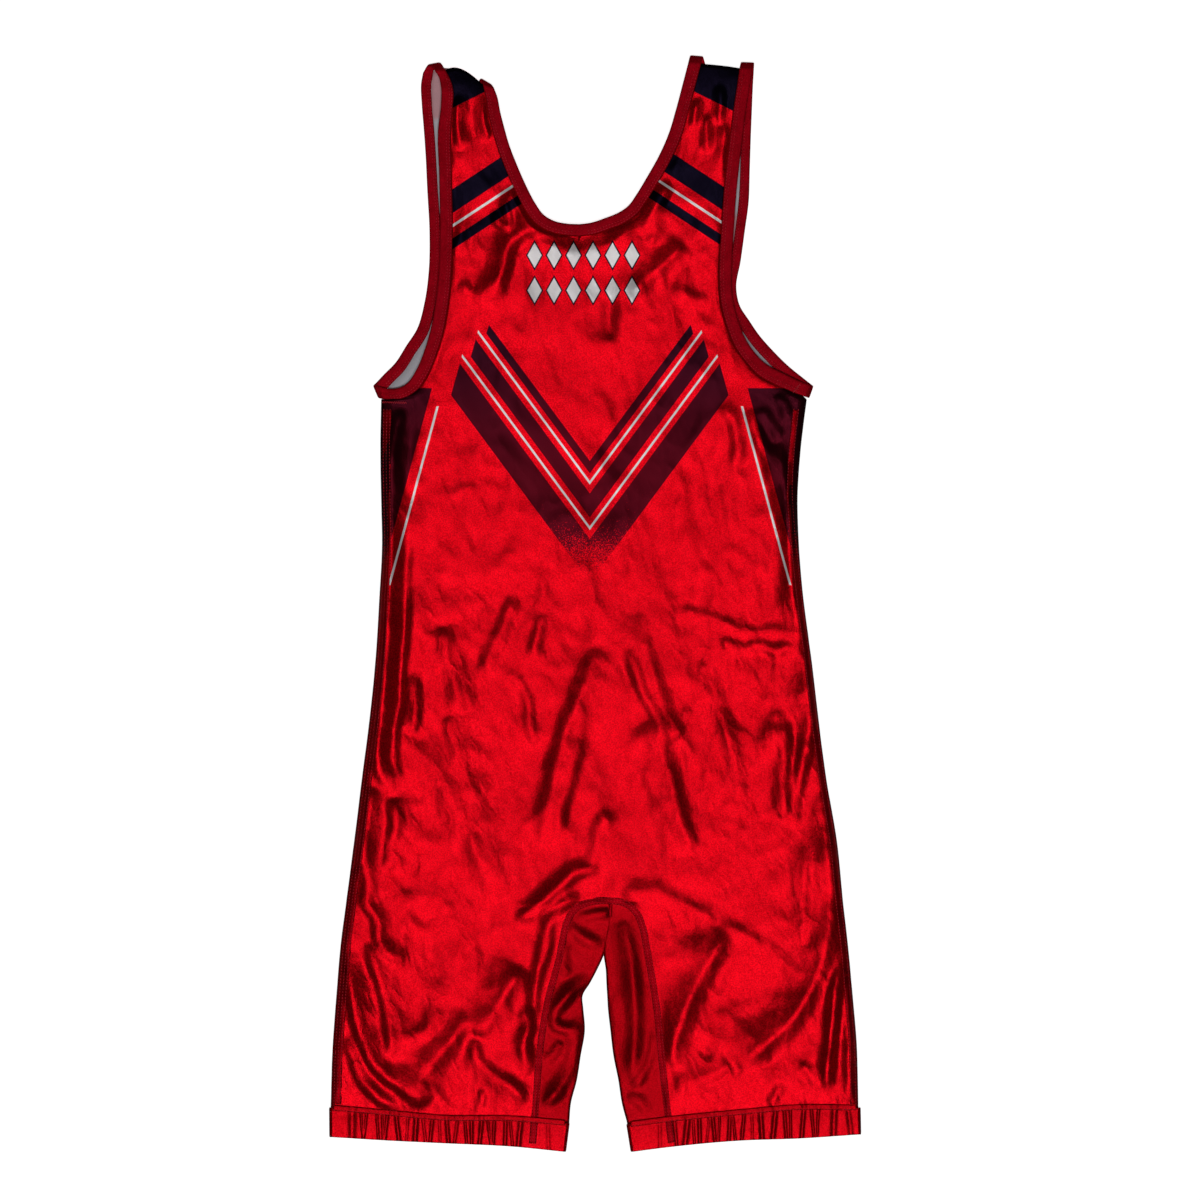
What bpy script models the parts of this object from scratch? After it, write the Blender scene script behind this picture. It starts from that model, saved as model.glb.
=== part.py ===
"""A sleeveless wrestling singlet laid flat: the back on top, the front under it, legs apart.

X runs across the garment, Y from the leg hems up to the shoulders, Z up from the surface it lies on.
All tables are in millimetres. The origin is under the middle of the garment's box.
"""

import bpy
import bmesh
import math
import numpy as np

MM = 0.001

# ---------------------------------------------------------------- driving sizes, mm
CLOTH = 1.2             # knit wall
BAND = 1.6              # folded binding
HEM = 1.4               # doubled elastic hem
SEAM_GAP = 0.6          # from a panel's edge to the piece sewn to it
FRONT_MID = CLOTH / 2   # height of the lower layer's middle
SIDE_MID = 2.4          # height of the upper layer's middle at the side seam
CROTCH_MID = 4.6        # the same at the inner-leg seam
HEM_MID = 3.6           # the same at the leg hem
TOP_MID = 3.2           # the same at the shoulder fold
LOFT_MID = 5.4          # height that the upper layer rests at between its edges
LEAST_MID = 3.1         # lowest that a trough takes it, just clear of the front's bindings
SIDE_ROUND = 16.0       # how far in from the side the upper layer takes to get there
SEAM_ROUND = 26.0       # the same from the inner-leg seam
EDGE_ROUND = 12.0       # the same from neck and armholes
TOP_ROUND = 14.0        # the same from the shoulder fold
HEM_ROUND = 30.0        # the same from the hem
INNER_FOLD = 1.4        # radius of the fold along the inside of each leg
FOLD_MID = FRONT_MID + INNER_FOLD
BACK_COLUMNS = 12
BACK_ROWS = {"leg": 12, "body": 26, "chest": 9, "strap": 18}
FRONT_COLUMNS = 5
FRONT_ROWS = {"leg": 12, "body": 6, "chest": 6, "strap": 12}
HEM_STEPS = 76
STRAP_STEP = 10.5       # between rows of the back on a strap

# Side edge from the armpit down to the hem: y, x of the left side, x of the right side
SIDE = (
    (157.0, -164.4, 162.6),
    (118.0, -164.8, 157.9),
    (72.0, -164.0, 155.5),
    (49.0, -163.4, 156.3),
    (3.0, -165.6, 160.2),
    (-44.0, -168.6, 166.3),
    (-90.0, -173.3, 171.7),
    (-136.0, -179.2, 177.9),
    (-182.0, -184.8, 185.6),
    (-228.0, -191.0, 190.4),
    (-265.0, -195.6, 194.6),
    (-302.0, -198.7, 197.9),
    (-339.0, -201.6, 201.0),
    (-386.5, -203.2, 202.4),
)
CROTCH = (12.0, -228.8)         # top of the arch of the inner-leg seam
CHEST_LOW = (-6.0, 146.0)       # on the middle line, level with the armpits

# Inner-leg seam, from the hem up to the top of the arch: x, y
SEAM_LEFT = (
    (-46.6, -396.6),
    (-45.4, -382.0),
    (-42.4, -344.0),
    (-37.7, -312.0),
    (-31.4, -287.0),
    (-27.4, -272.0),
    (-24.6, -258.0),
    (-20.8, -243.5),
    (-14.5, -234.6),
    (-2.5, -229.6),
    CROTCH,
)
SEAM_RIGHT = (
    (56.6, -396.0),
    (54.0, -375.0),
    (50.8, -344.0),
    (47.6, -312.0),
    (44.4, -291.0),
    (41.6, -275.0),
    (39.2, -262.0),
    (36.4, -248.0),
    (31.6, -237.6),
    (23.0, -230.6),
    CROTCH,
)
# Fold along the inside of each leg, from the hem up to where the legs meet: x, y
INSIDE_LEFT = (
    (-20.4, -399.2),
    (-19.2, -385.0),
    (-14.6, -367.0),
    (-11.6, -348.0),
    (-8.4, -328.0),
    (-9.6, -312.0),
    (-10.2, -302.0),
    (-4.4, -292.0),
    (0.4, -283.0),
    (6.4, -266.6),
    (9.0, -252.0),
    (11.2, -240.0),
)
INSIDE_RIGHT = (
    (25.4, -400.0),
    (21.4, -385.0),
    (18.6, -367.0),
    (14.8, -348.0),
    (12.4, -328.0),
    (10.6, -312.0),
    (10.0, -302.0),
    (9.4, -292.0),
    (9.0, -283.0),
    (8.0, -266.6),
    (10.4, -252.0),
    (12.6, -240.0),
)
# Leg hem, from its outer end to its inner end: x, y of the top edge, x, y of the bottom edge
HEM_LEFT = (
    (-202.6, -388.0, -202.4, -410.8),
    (-160.0, -391.8, -160.0, -413.4),
    (-119.0, -395.6, -119.0, -415.4),
    (-62.0, -396.4, -62.0, -418.2),
    (-21.6, -399.8, -24.4, -422.0),
)
HEM_RIGHT = (
    (202.4, -388.0, 202.8, -408.8),
    (158.0, -387.6, 158.0, -411.8),
    (110.0, -391.6, 110.0, -413.6),
    (56.0, -397.0, 56.0, -418.6),
    (26.2, -400.8, 29.6, -422.0),
)
# Gathers of each hem: x of the groove, its depth, half its width
GATHERS_LEFT = (
    (-188.0, 1.5, 4.2),
    (-177.5, 1.1, 2.6),
    (-166.0, 1.4, 3.2),
    (-152.0, 1.2, 2.6),
    (-137.0, 1.3, 3.0),
    (-126.0, 1.1, 2.6),
    (-115.5, 0.9, 2.4),
    (-109.0, 0.8, 2.4),
    (-102.4, 1.2, 2.6),
    (-94.7, 1.0, 2.4),
    (-87.8, 1.3, 2.4),
    (-80.9, 1.1, 2.6),
    (-71.0, 1.4, 3.2),
    (-62.0, 0.9, 2.6),
)
GATHERS_RIGHT = (
    (66.0, 0.9, 2.6),
    (73.0, 1.2, 2.6),
    (80.5, 1.3, 2.4),
    (90.0, 1.0, 2.4),
    (98.0, 1.4, 2.6),
    (106.0, 1.1, 2.4),
    (113.0, 1.3, 2.6),
    (121.0, 1.0, 2.4),
    (128.5, 1.3, 2.6),
    (137.0, 1.1, 2.6),
    (147.0, 1.4, 2.8),
    (155.0, 1.1, 2.4),
    (163.0, 1.3, 2.6),
    (170.5, 1.0, 2.4),
    (177.0, 0.9, 2.4),
    (187.0, 1.4, 4.0),
)
# Bindings, a row for each section: x, y of the free edge, x, y of the sewn edge, height of the middle.
# The upper rows run armpit to shoulder, the lower rows shoulder to armpit.
ARM_LEFT_UPPER = (
    (-166.4, 167.4, -163.6, 157.6, 3.2),
    (-158.6, 165.4, -156.4, 157.1, 3.8),
    (-151.0, 166.0, -147.4, 158.2, 4.8),
    (-145.0, 169.2, -138.4, 163.0, 4.8),
    (-138.0, 179.0, -129.6, 174.6, 4.9),
    (-131.6, 194.0, -122.6, 190.4, 5.0),
    (-126.6, 211.0, -117.0, 208.6, 5.0),
    (-122.8, 232.0, -113.0, 231.0, 5.0),
    (-120.2, 258.0, -110.4, 257.6, 5.0),
    (-119.4, 285.0, -109.6, 285.0, 5.0),
    (-120.0, 330.0, -110.4, 330.0, 5.0),
    (-120.8, 365.0, -110.8, 365.0, 5.0),
    (-118.6, 384.0, -109.4, 384.0, 5.4),
    (-118.4, 396.0, -109.0, 394.4, 5.6),
    (-120.2, 405.0, -111.2, 403.0, 5.0),
    (-123.4, 410.2, -115.2, 410.6, 5.0),
)
ARM_LEFT_SHOULDER = (-128.0, 414.4, -119.2, 416.0, 2.9)
ARM_LEFT_LOWER = (
    (-132.4, 408.6, -124.4, 410.0, 0.8),
    (-133.9, 400.0, -125.8, 400.0, 0.8),
    (-133.4, 385.0, -125.6, 385.0, 0.8),
    (-131.8, 365.0, -123.8, 365.0, 0.8),
    (-130.4, 345.0, -122.4, 345.0, 0.8),
    (-129.2, 320.0, -121.0, 320.0, 0.8),
    (-127.4, 285.0, -118.8, 285.0, 0.8),
    (-128.0, 256.0, -119.2, 254.6, 0.8),
    (-131.2, 232.0, -122.8, 229.0, 0.8),
    (-137.2, 211.0, -129.2, 206.6, 0.8),
    (-145.2, 198.6, -138.4, 192.4, 0.8),
    (-153.6, 185.4, -147.2, 178.8, 0.8),
    (-162.2, 176.6, -156.6, 169.2, 0.8),
    (-168.4, 170.0, -163.8, 161.2, 0.8),
)
ARM_LEFT_PIT = (-170.2, 167.8, -166.2, 158.4, 2.0)
ARM_RIGHT_UPPER = (
    (165.6, 168.4, 162.2, 159.0, 3.2),
    (157.6, 171.4, 154.0, 162.0, 3.8),
    (149.0, 175.4, 145.0, 165.8, 4.6),
    (141.0, 179.2, 136.0, 169.8, 4.8),
    (132.4, 184.0, 126.0, 175.6, 4.8),
    (123.6, 192.4, 115.8, 186.2, 4.9),
    (116.2, 203.4, 107.4, 198.4, 5.0),
    (110.6, 217.0, 101.2, 214.0, 5.0),
    (106.8, 231.0, 97.2, 229.6, 5.0),
    (105.2, 246.0, 95.6, 246.0, 5.0),
    (105.4, 262.0, 95.6, 263.0, 5.0),
    (106.8, 285.0, 97.0, 286.0, 5.0),
    (108.8, 315.0, 99.0, 316.0, 5.0),
    (111.2, 338.0, 101.4, 339.2, 5.0),
    (114.0, 362.0, 104.4, 363.4, 5.0),
    (117.0, 385.0, 107.4, 386.4, 5.0),
    (119.2, 399.0, 109.6, 400.4, 4.9),
    (121.0, 411.4, 111.2, 412.0, 4.8),
)
ARM_RIGHT_SHOULDER = (122.4, 415.8, 112.4, 416.2, 2.8)
ARM_RIGHT_LOWER = (
    (122.3, 411.0, 113.2, 411.0, 0.8),
    (121.6, 399.0, 112.8, 399.0, 0.8),
    (120.8, 380.0, 112.6, 380.0, 0.8),
    (120.0, 360.0, 112.2, 360.0, 0.8),
    (119.2, 335.0, 111.8, 335.0, 0.8),
    (118.2, 308.0, 110.4, 308.0, 0.8),
    (115.5, 288.0, 107.8, 287.0, 0.8),
    (112.2, 264.0, 104.2, 263.0, 0.8),
    (108.8, 242.6, 100.4, 239.0, 0.8),
    (111.6, 229.0, 104.6, 223.4, 0.8),
    (118.6, 218.0, 112.0, 211.8, 0.8),
    (126.4, 206.6, 120.0, 200.2, 0.8),
    (136.4, 195.2, 130.6, 188.2, 0.8),
    (148.0, 183.6, 142.4, 176.4, 0.8),
    (163.0, 171.4, 158.4, 163.6, 0.8),
)
ARM_RIGHT_PIT = (167.4, 167.6, 164.2, 158.4, 2.0)
NECK_UPPER_LEFT = (
    (-12.0, 292.0, -12.0, 283.0, 4.8),
    (-21.0, 292.4, -22.0, 283.6, 4.8),
    (-31.0, 294.4, -34.4, 286.2, 4.8),
    (-39.6, 299.4, -46.0, 292.8, 4.8),
    (-46.0, 308.2, -54.0, 303.4, 4.9),
    (-53.2, 322.0, -61.6, 318.0, 5.0),
    (-60.2, 338.0, -68.8, 334.4, 5.0),
    (-66.0, 353.0, -74.8, 350.0, 5.0),
    (-70.0, 367.0, -79.2, 365.0, 5.0),
    (-72.8, 378.0, -82.0, 376.6, 5.0),
    (-75.2, 390.0, -84.0, 389.4, 4.8),
    (-77.8, 396.8, -86.2, 399.0, 4.8),
)
NECK_LEFT_SHOULDER = (-80.4, 400.6, -88.6, 406.2, 2.8)
NECK_UPPER_RIGHT = (
    (-12.0, 292.0, -12.0, 283.0, 4.8),
    (-3.0, 293.2, -0.8, 284.4, 4.8),
    (8.0, 296.8, 11.4, 288.4, 4.8),
    (18.6, 301.2, 23.0, 293.2, 4.8),
    (25.8, 306.4, 32.4, 300.0, 4.9),
    (31.6, 314.4, 39.4, 309.6, 5.0),
    (40.2, 328.6, 48.4, 324.0, 5.0),
    (49.6, 345.4, 58.2, 341.2, 5.0),
    (56.6, 361.4, 65.8, 358.0, 5.0),
    (62.4, 380.6, 71.8, 378.2, 5.0),
    (67.8, 401.0, 77.4, 399.0, 4.8),
    (71.8, 416.4, 81.6, 415.4, 4.8),
)
NECK_RIGHT_SHOULDER = (73.4, 421.4, 83.0, 420.6, 2.8)
NECK_LOWER_RIGHT = (
    (-4.0, 226.0, -4.0, 216.6, 0.8),
    (18.0, 236.6, 23.6, 229.0, 0.8),
    (34.6, 262.0, 43.0, 257.6, 0.8),
    (45.6, 296.0, 54.6, 293.0, 0.8),
    (53.6, 325.0, 62.6, 321.8, 0.8),
    (60.8, 350.0, 69.8, 346.8, 0.8),
    (67.0, 375.0, 76.4, 372.6, 0.8),
    (72.2, 397.0, 81.6, 395.4, 0.8),
    (75.6, 415.6, 85.0, 415.0, 0.8),
)
NECK_LOWER_LEFT = (
    (-4.0, 226.0, -4.0, 216.6, 0.8),
    (-25.6, 236.6, -31.4, 229.2, 0.8),
    (-43.4, 262.0, -52.0, 258.2, 0.8),
    (-54.6, 294.0, -63.8, 291.6, 0.8),
    (-62.6, 322.0, -71.8, 319.6, 0.8),
    (-70.0, 347.0, -79.2, 344.8, 0.8),
    (-76.6, 371.0, -86.0, 370.2, 0.8),
    (-80.6, 386.0, -90.0, 387.2, 0.8),
    (-82.4, 395.0, -90.6, 400.0, 0.8),
)
# How far the shoulder fold rises above the straight line between the two bindings
SHOULDER_BOW_LEFT = 5.6
SHOULDER_BOW_RIGHT = 0.4

# Largest folds of the upper layer: x, y of one end, x, y of the other, half width, height of the crest.
# A row with a height below zero is a trough.
FOLDS = (
    (-72.0, 306.0, -98.0, 246.0, 9.0, 2.5),
    (-50.0, 288.0, -80.0, 240.0, 9.0, 2.8),
    (-86.0, 302.0, -92.0, 262.0, 9.0, -2.5),
    (54.0, 322.0, 40.0, 286.0, 9.0, 2.5),
    (62.0, 300.0, 36.0, 244.0, 10.0, -2.2),
    (-100.0, 396.0, -98.0, 356.0, 7.0, -2.5),
    (92.0, 404.0, 88.0, 352.0, 7.0, -2.2),
    (-153.0, -4.0, -158.0, -206.0, 8.0, -3.6),
    (-164.0, 20.0, -166.0, -120.0, 6.0, 2.2),
    (-120.0, -30.0, -104.0, -84.0, 9.0, 2.5),
    (-132.0, -124.0, -92.0, -206.0, 9.0, 2.2),
    (2.0, -30.0, -34.0, -184.0, 10.0, 3.4),
    (-16.0, -50.0, -46.0, -196.0, 10.0, -2.8),
    (28.0, -34.0, 78.0, -190.0, 10.0, 3.4),
    (42.0, -40.0, 60.0, -100.0, 9.0, -2.2),
    (156.0, -30.0, 102.0, -22.0, 9.0, 2.2),
    (154.0, -50.0, 157.0, -176.0, 9.0, -3.4),
    (168.0, -150.0, 172.0, -258.0, 8.0, -3.1),
    (182.0, -270.0, 128.0, -372.0, 10.0, -3.4),
    (176.0, -212.0, 160.0, -330.0, 10.0, 2.5),
    (104.0, -252.0, 62.0, -376.0, 10.0, 2.8),
    (92.0, -246.0, 140.0, -286.0, 11.0, 2.2),
    (-40.0, -244.0, 2.0, -196.0, 9.0, 2.5),
    (-190.0, -300.0, -160.0, -366.0, 9.0, -3.1),
    (-170.0, -362.0, -104.0, -388.0, 9.0, 2.5),
    (-62.0, -284.0, -120.0, -366.0, 10.0, -2.8),
    (-96.0, -334.0, -54.0, -382.0, 9.0, 2.5),
    (-60.0, -322.0, -54.0, -366.0, 8.0, -2.5),
    (150.0, 110.0, 120.0, 156.0, 9.0, 2.0),
    (140.0, 130.0, 150.0, 20.0, 9.0, -2.2),
)

RED = (0.62, 0.0, 0.02, 1.0)
CRIMSON = (0.17, 0.0, 0.01, 1.0)


def along(rows, count):
    """The rows of a table as count rows evenly spaced along it, on a smooth curve through each."""
    points = np.array(rows, float)
    steps = np.linalg.norm(np.diff(points[:, :2], axis=0), axis=1)
    if points.shape[1] > 3:
        steps = steps / 2 + np.linalg.norm(np.diff(points[:, 2:4], axis=0), axis=1) / 2
    at = np.concatenate([[0.0], np.cumsum(steps)])
    slopes = np.gradient(points, at, axis=0)
    wanted = np.linspace(0.0, at[-1], count)
    left = np.clip(np.searchsorted(at, wanted, side="right") - 1, 0, len(at) - 2)
    width = at[left + 1] - at[left]
    t = ((wanted - at[left]) / width)[:, None]
    width = width[:, None]
    return (
        (1 + 2 * t) * (1 - t) ** 2 * points[left]
        + t * (1 - t) ** 2 * width * slopes[left]
        + t ** 2 * (3 - 2 * t) * points[left + 1]
        + t ** 2 * (t - 1) * width * slopes[left + 1]
    )


def side_path(column, count):
    """The side edge from the hem up to the armpit, as x, y and height."""
    rows = [(row[column], row[0], SIDE_MID) for row in reversed(SIDE)]
    return along(rows, count)


def sewn_edge(binding):
    """The panel's edge beside a binding: its sewn edge moved away by the gap, as x, y and height."""
    free, sewn = binding[:, :2], binding[:, 2:4]
    away = sewn - free
    away /= np.linalg.norm(away, axis=1)[:, None]
    return np.column_stack([sewn + SEAM_GAP * away, binding[:, 4]])


def eased(distance, reach):
    """0 at an edge, rising to 1 at this distance from it, level there."""
    t = np.clip(distance / reach, 0.0, 1.0)
    return 1 - (1 - t) ** 2


def fold_height(x, y):
    """What the folds add to or take from the upper layer at a point."""
    total = 0.0
    for x0, y0, x1, y1, half, crest in FOLDS:
        run = math.hypot(x1 - x0, y1 - y0)
        ux, uy = (x1 - x0) / run, (y1 - y0) / run
        s = (x - x0) * ux + (y - y0) * uy
        off = (x - x0) * uy - (y - y0) * ux
        taper = min(1.0, max(0.0, min(s, run - s) / (0.3 * run) + 0.35))
        total += crest * math.exp(-((off / half) ** 2)) * taper ** 2
    return total


def linked(name, mesh_maker, colour):
    """An object of this name whose mesh mesh_maker fills, with its own material."""
    mesh = bpy.data.meshes.new(name)
    shape = bmesh.new()
    mesh_maker(shape)
    bmesh.ops.recalc_face_normals(shape, faces=shape.faces)
    shape.to_mesh(mesh)
    shape.free()
    material = bpy.data.materials.new(name + "_cloth")
    material.use_nodes = True
    shader = material.node_tree.nodes["Principled BSDF"]
    shader.inputs["Base Color"].default_value = colour
    shader.inputs["Roughness"].default_value = 0.5
    mesh.materials.append(material)
    solid = bpy.data.objects.new(name, mesh)
    singlet.objects.link(solid)
    return solid


def thickened(solid, thickness):
    wall = solid.modifiers.new("wall", "SOLIDIFY")
    wall.thickness = thickness * MM
    wall.offset = 0.0
    wall.use_even_offset = False
    return solid


def grid_faces(shape, rows):
    """Quads between neighbouring rows of points."""
    made = [[shape.verts.new([c * MM for c in point]) for point in row] for row in rows]
    for below, above in zip(made, made[1:]):
        for i in range(len(below) - 1):
            shape.faces.new((below[i], below[i + 1], above[i + 1], above[i]))


def panel_rows(outer, inner, columns, heights):
    """Rows of points from each outer station to its inner station, at the heights that heights gives."""
    rows = []
    shares = np.linspace(0.0, 1.0, columns + 1)
    shares = shares - 0.25 * np.sin(2 * math.pi * shares) / (2 * math.pi)
    for station, (start, end) in enumerate(zip(outer, inner)):
        across = np.linalg.norm(end[:2] - start[:2])
        row = []
        for share in shares:
            x, y = start[:2] + share * (end[:2] - start[:2])
            row.append([x, y, heights(station, x, y, share * across, (1 - share) * across, start, end)])
        rows.append(row)
    return rows


def half_paths(column, seam, arm, neck, rows):
    """Outer and inner stations of half a panel, hem to shoulder."""
    leg, body, chest = rows["leg"], rows["body"], rows["chest"]
    side = side_path(column, 60)
    turn = float(np.interp(CROTCH[1], side[:, 1], np.arange(60)))
    stations = np.concatenate([np.linspace(0, turn, leg + 1), np.linspace(turn, 59, body + 1)[1:]])
    side = np.column_stack([np.interp(stations, np.arange(60), side[:, k]) for k in range(3)])
    outer = np.concatenate([side, sewn_edge(arm)[1:]])
    seam = np.column_stack([along(seam, leg + 1), np.full(leg + 1, CROTCH_MID)])
    neck = sewn_edge(neck)
    crotch = np.array([CROTCH[0], CROTCH[1], LOFT_MID])
    chest_low = np.array([CHEST_LOW[0], CHEST_LOW[1], LOFT_MID])
    belly = np.linspace(crotch, chest_low, body + 1)
    upper = np.linspace(chest_low, neck[0], chest + 1)
    return outer, np.concatenate([seam, belly[1:], upper[1:], neck[1:]])


def back_heights(rows, hem):
    """The height rule of the upper layer's left or right half."""
    body_end = rows["leg"] + rows["body"]
    chest_end = body_end + rows["chest"]
    last = chest_end + rows["strap"]
    hem_x = np.array([row[0] for row in hem])
    hem_y = np.array([row[1] for row in hem])
    order = np.argsort(hem_x)

    def heights(station, x, y, from_outer, from_inner, start, end):
        outer_reach = SIDE_ROUND if station <= body_end else EDGE_ROUND
        rise = LOFT_MID - (LOFT_MID - start[2]) * (1 - eased(from_outer, outer_reach))
        low = eased(from_outer, outer_reach)
        if station < rows["leg"]:
            rise -= (LOFT_MID - end[2]) * (1 - eased(from_inner, SEAM_ROUND))
            low *= eased(from_inner, SEAM_ROUND)
        elif station > chest_end:
            rise -= (LOFT_MID - end[2]) * (1 - eased(from_inner, EDGE_ROUND))
            low *= eased(from_inner, EDGE_ROUND)
        over_hem = y - float(np.interp(x, hem_x[order], hem_y[order]))
        near_hem = eased(over_hem, HEM_ROUND)
        rise = min(rise, HEM_MID + (LOFT_MID - HEM_MID) * near_hem)
        from_top = (last - station) * STRAP_STEP
        near_top = eased(from_top, TOP_ROUND)
        rise = min(rise, TOP_MID + (LOFT_MID - TOP_MID) * near_top)
        folded = rise + fold_height(x, y) * low * near_hem * near_top
        return max(folded, min(rise, LEAST_MID))

    return heights


def at_hem(path, hem):
    """The path's first point moved onto the hem's top edge, the gap above it."""
    order = np.argsort([row[0] for row in hem])
    hem_x = np.array([row[0] for row in hem])[order]
    hem_y = np.array([row[1] for row in hem])[order]
    path[0, 1] = np.interp(path[0, 0], hem_x, hem_y) + SEAM_GAP + 0.2
    return path


def bowed(rows, bow):
    """Lifts a strap's last rows towards the rounded shoulder fold."""
    for back, share in ((1, 1.0), (2, 0.55), (3, 0.2)):
        row = rows[-back]
        for i, point in enumerate(row):
            u = i / (len(row) - 1)
            point[1] += bow * share * 4 * u * (1 - u) * (1.3 - 0.6 * u)
    return rows


def on_hem(rows, hem):
    """Sets the first row along the hem's top edge and eases the next one after it."""
    order = np.argsort([row[0] for row in hem])
    hem_x = np.array([row[0] for row in hem])[order]
    hem_y = np.array([row[1] for row in hem])[order]
    for i, point in enumerate(rows[0]):
        wanted = float(np.interp(point[0], hem_x, hem_y)) + SEAM_GAP + 0.2
        moved = wanted - point[1]
        point[1] = wanted
        rows[1][i][1] += 0.5 * moved
    return rows


def ring_sections(upper, shoulder, lower, pit):
    """Sections round a binding: along the upper layer, over the shoulder, back along the lower one."""
    top = along((upper[-1], shoulder, lower[0]), 7)[1:-1]
    bottom = along((lower[-1], pit, upper[0]), 7)[1:-1]
    return np.concatenate([upper, top, lower, bottom])


def ring(shape, sections, profile, lift):
    """Skins a closed ring. Each section holds two edges, and profile the outline between them.

    profile rows: share of the way from free to sewn edge, share of the thickness; lift adds to the height.
    """
    free = np.column_stack([sections[:, :2], sections[:, 4]])
    sewn = np.column_stack([sections[:, 2:4], sections[:, 4]])
    middle = (free + sewn) / 2
    ahead = np.roll(middle, -1, axis=0) - np.roll(middle, 1, axis=0)
    across = sewn - free
    normal = np.cross(ahead, across)
    normal /= np.linalg.norm(normal, axis=1)[:, None]
    loops = []
    for i in range(len(sections)):
        loop = []
        for share, thick in profile:
            point = free[i] + share * across[i] + thick * normal[i]
            point[2] += lift(free[i] + share * across[i], share)
            loop.append(shape.verts.new(point * MM))
        loops.append(loop)
    size = len(profile)
    for a, b in zip(loops, loops[1:] + loops[:1]):
        for k in range(size):
            shape.faces.new((a[k], a[(k + 1) % size], b[(k + 1) % size], b[k]))


BAND_PROFILE = (
    (0.0, -0.25 * BAND),
    (0.07, -0.5 * BAND),
    (0.95, -0.5 * BAND),
    (1.0, -0.35 * BAND),
    (1.0, 0.35 * BAND),
    (0.95, 0.5 * BAND),
    (0.07, 0.5 * BAND),
    (0.0, 0.25 * BAND),
)
HEM_PROFILE = (
    (0.0, -0.5 * HEM),
    (0.3, -0.5 * HEM),
    (0.7, -0.5 * HEM),
    (1.0, -0.4 * HEM),
    (1.0, 0.4 * HEM),
    (0.7, 0.5 * HEM),
    (0.3, 0.5 * HEM),
    (0.0, 0.5 * HEM),
)


def level(point, share):
    return 0.0


def binding(name, upper, shoulder, lower, pit):
    sections = ring_sections(upper, shoulder, lower, pit)
    return linked(name, lambda shape: ring(shape, sections, BAND_PROFILE, level), CRIMSON)


def hem(name, table, gathers):
    """A flattened elastic tube: the upper wall from its outer to its inner end, and back underneath."""
    top = along(table, HEM_STEPS)
    rows = [(row[0], row[1], row[2], row[3], HEM_MID) for row in top]
    back = [(row[0], row[1], row[2], row[3], HEM / 2) for row in along(table, 12)[::-1]]
    outward = math.copysign(1.0, table[0][0] - table[-1][0])
    ends = []
    for row, way in ((top[-1], -outward), (top[0], outward)):
        turn = []
        for angle in (30.0, 60.0, 90.0, 120.0, 150.0):
            radius = (HEM_MID - HEM / 2) / 2
            reach = way * radius * math.sin(math.radians(angle))
            height = HEM / 2 + radius + radius * math.cos(math.radians(angle))
            turn.append((row[0] + reach, row[1], row[2] + reach, row[3], height))
        ends.append(turn)
    sections = np.array(rows + ends[0] + back + ends[1][::-1])

    def lift(point, share):
        if point[2] < HEM_MID - 0.01:
            return 0.0
        total = 0.35
        for x, depth, half in gathers:
            total -= depth * math.exp(-(((point[0] - x) / half) ** 2)) * (0.75 + 0.25 * share)
        return total

    return linked(name, lambda shape: ring(shape, sections, HEM_PROFILE, lift), RED)


def inner_leg(name, seam, inside, hem_table):
    """The inner-leg piece, doubled at its fold: upper wall, fold, lower wall, from hem to crotch."""
    count = BACK_ROWS["leg"] + 1
    seam_path = at_hem(along(seam, count), hem_table)
    fold_path = at_hem(along(inside, count), hem_table)
    seam_path[-1] += (seam_path[-2] - seam_path[-1]) * 0.12
    rows = []
    for i, (sewn, fold) in enumerate(zip(seam_path, fold_path)):
        way = fold - sewn
        span = np.linalg.norm(way)
        way = way / span
        start = sewn + way * SEAM_GAP
        edge = fold - way * INNER_FOLD
        low = HEM_MID if i == 0 else min(CROTCH_MID, HEM_MID + 0.9 * i)
        row = []
        for share in (0.0, 0.2, 0.42, 0.66, 0.85):
            spot = start + share * (edge - start)
            top = FOLD_MID + INNER_FOLD + (low - FOLD_MID - INNER_FOLD) * (1 - share) ** 1.5
            row.append((spot[0], spot[1], top))
        for angle in (0.0, 45.0, 90.0, 135.0, 180.0):
            spot = edge + way * INNER_FOLD * math.sin(math.radians(angle))
            row.append((spot[0], spot[1], FOLD_MID + INNER_FOLD * math.cos(math.radians(angle))))
        for share in (0.6, 0.3, 0.0):
            spot = start + share * (edge - start)
            row.append((spot[0], spot[1], FRONT_MID))
        rows.append(row)
    solid = linked(name, lambda shape: grid_faces(shape, rows), RED)
    return thickened(solid, CLOTH)


def panel(name, halves, thickness):
    def fill(shape):
        for rows in halves:
            grid_faces(shape, rows)
        bmesh.ops.remove_doubles(shape, verts=shape.verts, dist=0.02 * MM)

    return thickened(linked(name, fill, RED), thickness)


for old in list(bpy.data.objects):
    bpy.data.objects.remove(old, do_unlink=True)
singlet = bpy.data.collections.new("wrestling_singlet")
bpy.context.scene.collection.children.link(singlet)

strap = BACK_ROWS["strap"]
arm = BACK_ROWS["chest"] + strap
arm_upper_left = along(ARM_LEFT_UPPER, arm + 1)
arm_upper_right = along(ARM_RIGHT_UPPER, arm + 1)
neck_upper_left = along(NECK_UPPER_LEFT, strap + 1)
neck_upper_right = along(NECK_UPPER_RIGHT, strap + 1)
strap = FRONT_ROWS["strap"]
arm = FRONT_ROWS["chest"] + strap
arm_lower_left = along(ARM_LEFT_LOWER, arm + 1)
arm_lower_right = along(ARM_RIGHT_LOWER, arm + 1)
neck_lower_left = along(NECK_LOWER_LEFT, strap + 1)
neck_lower_right = along(NECK_LOWER_RIGHT, strap + 1)

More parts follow.
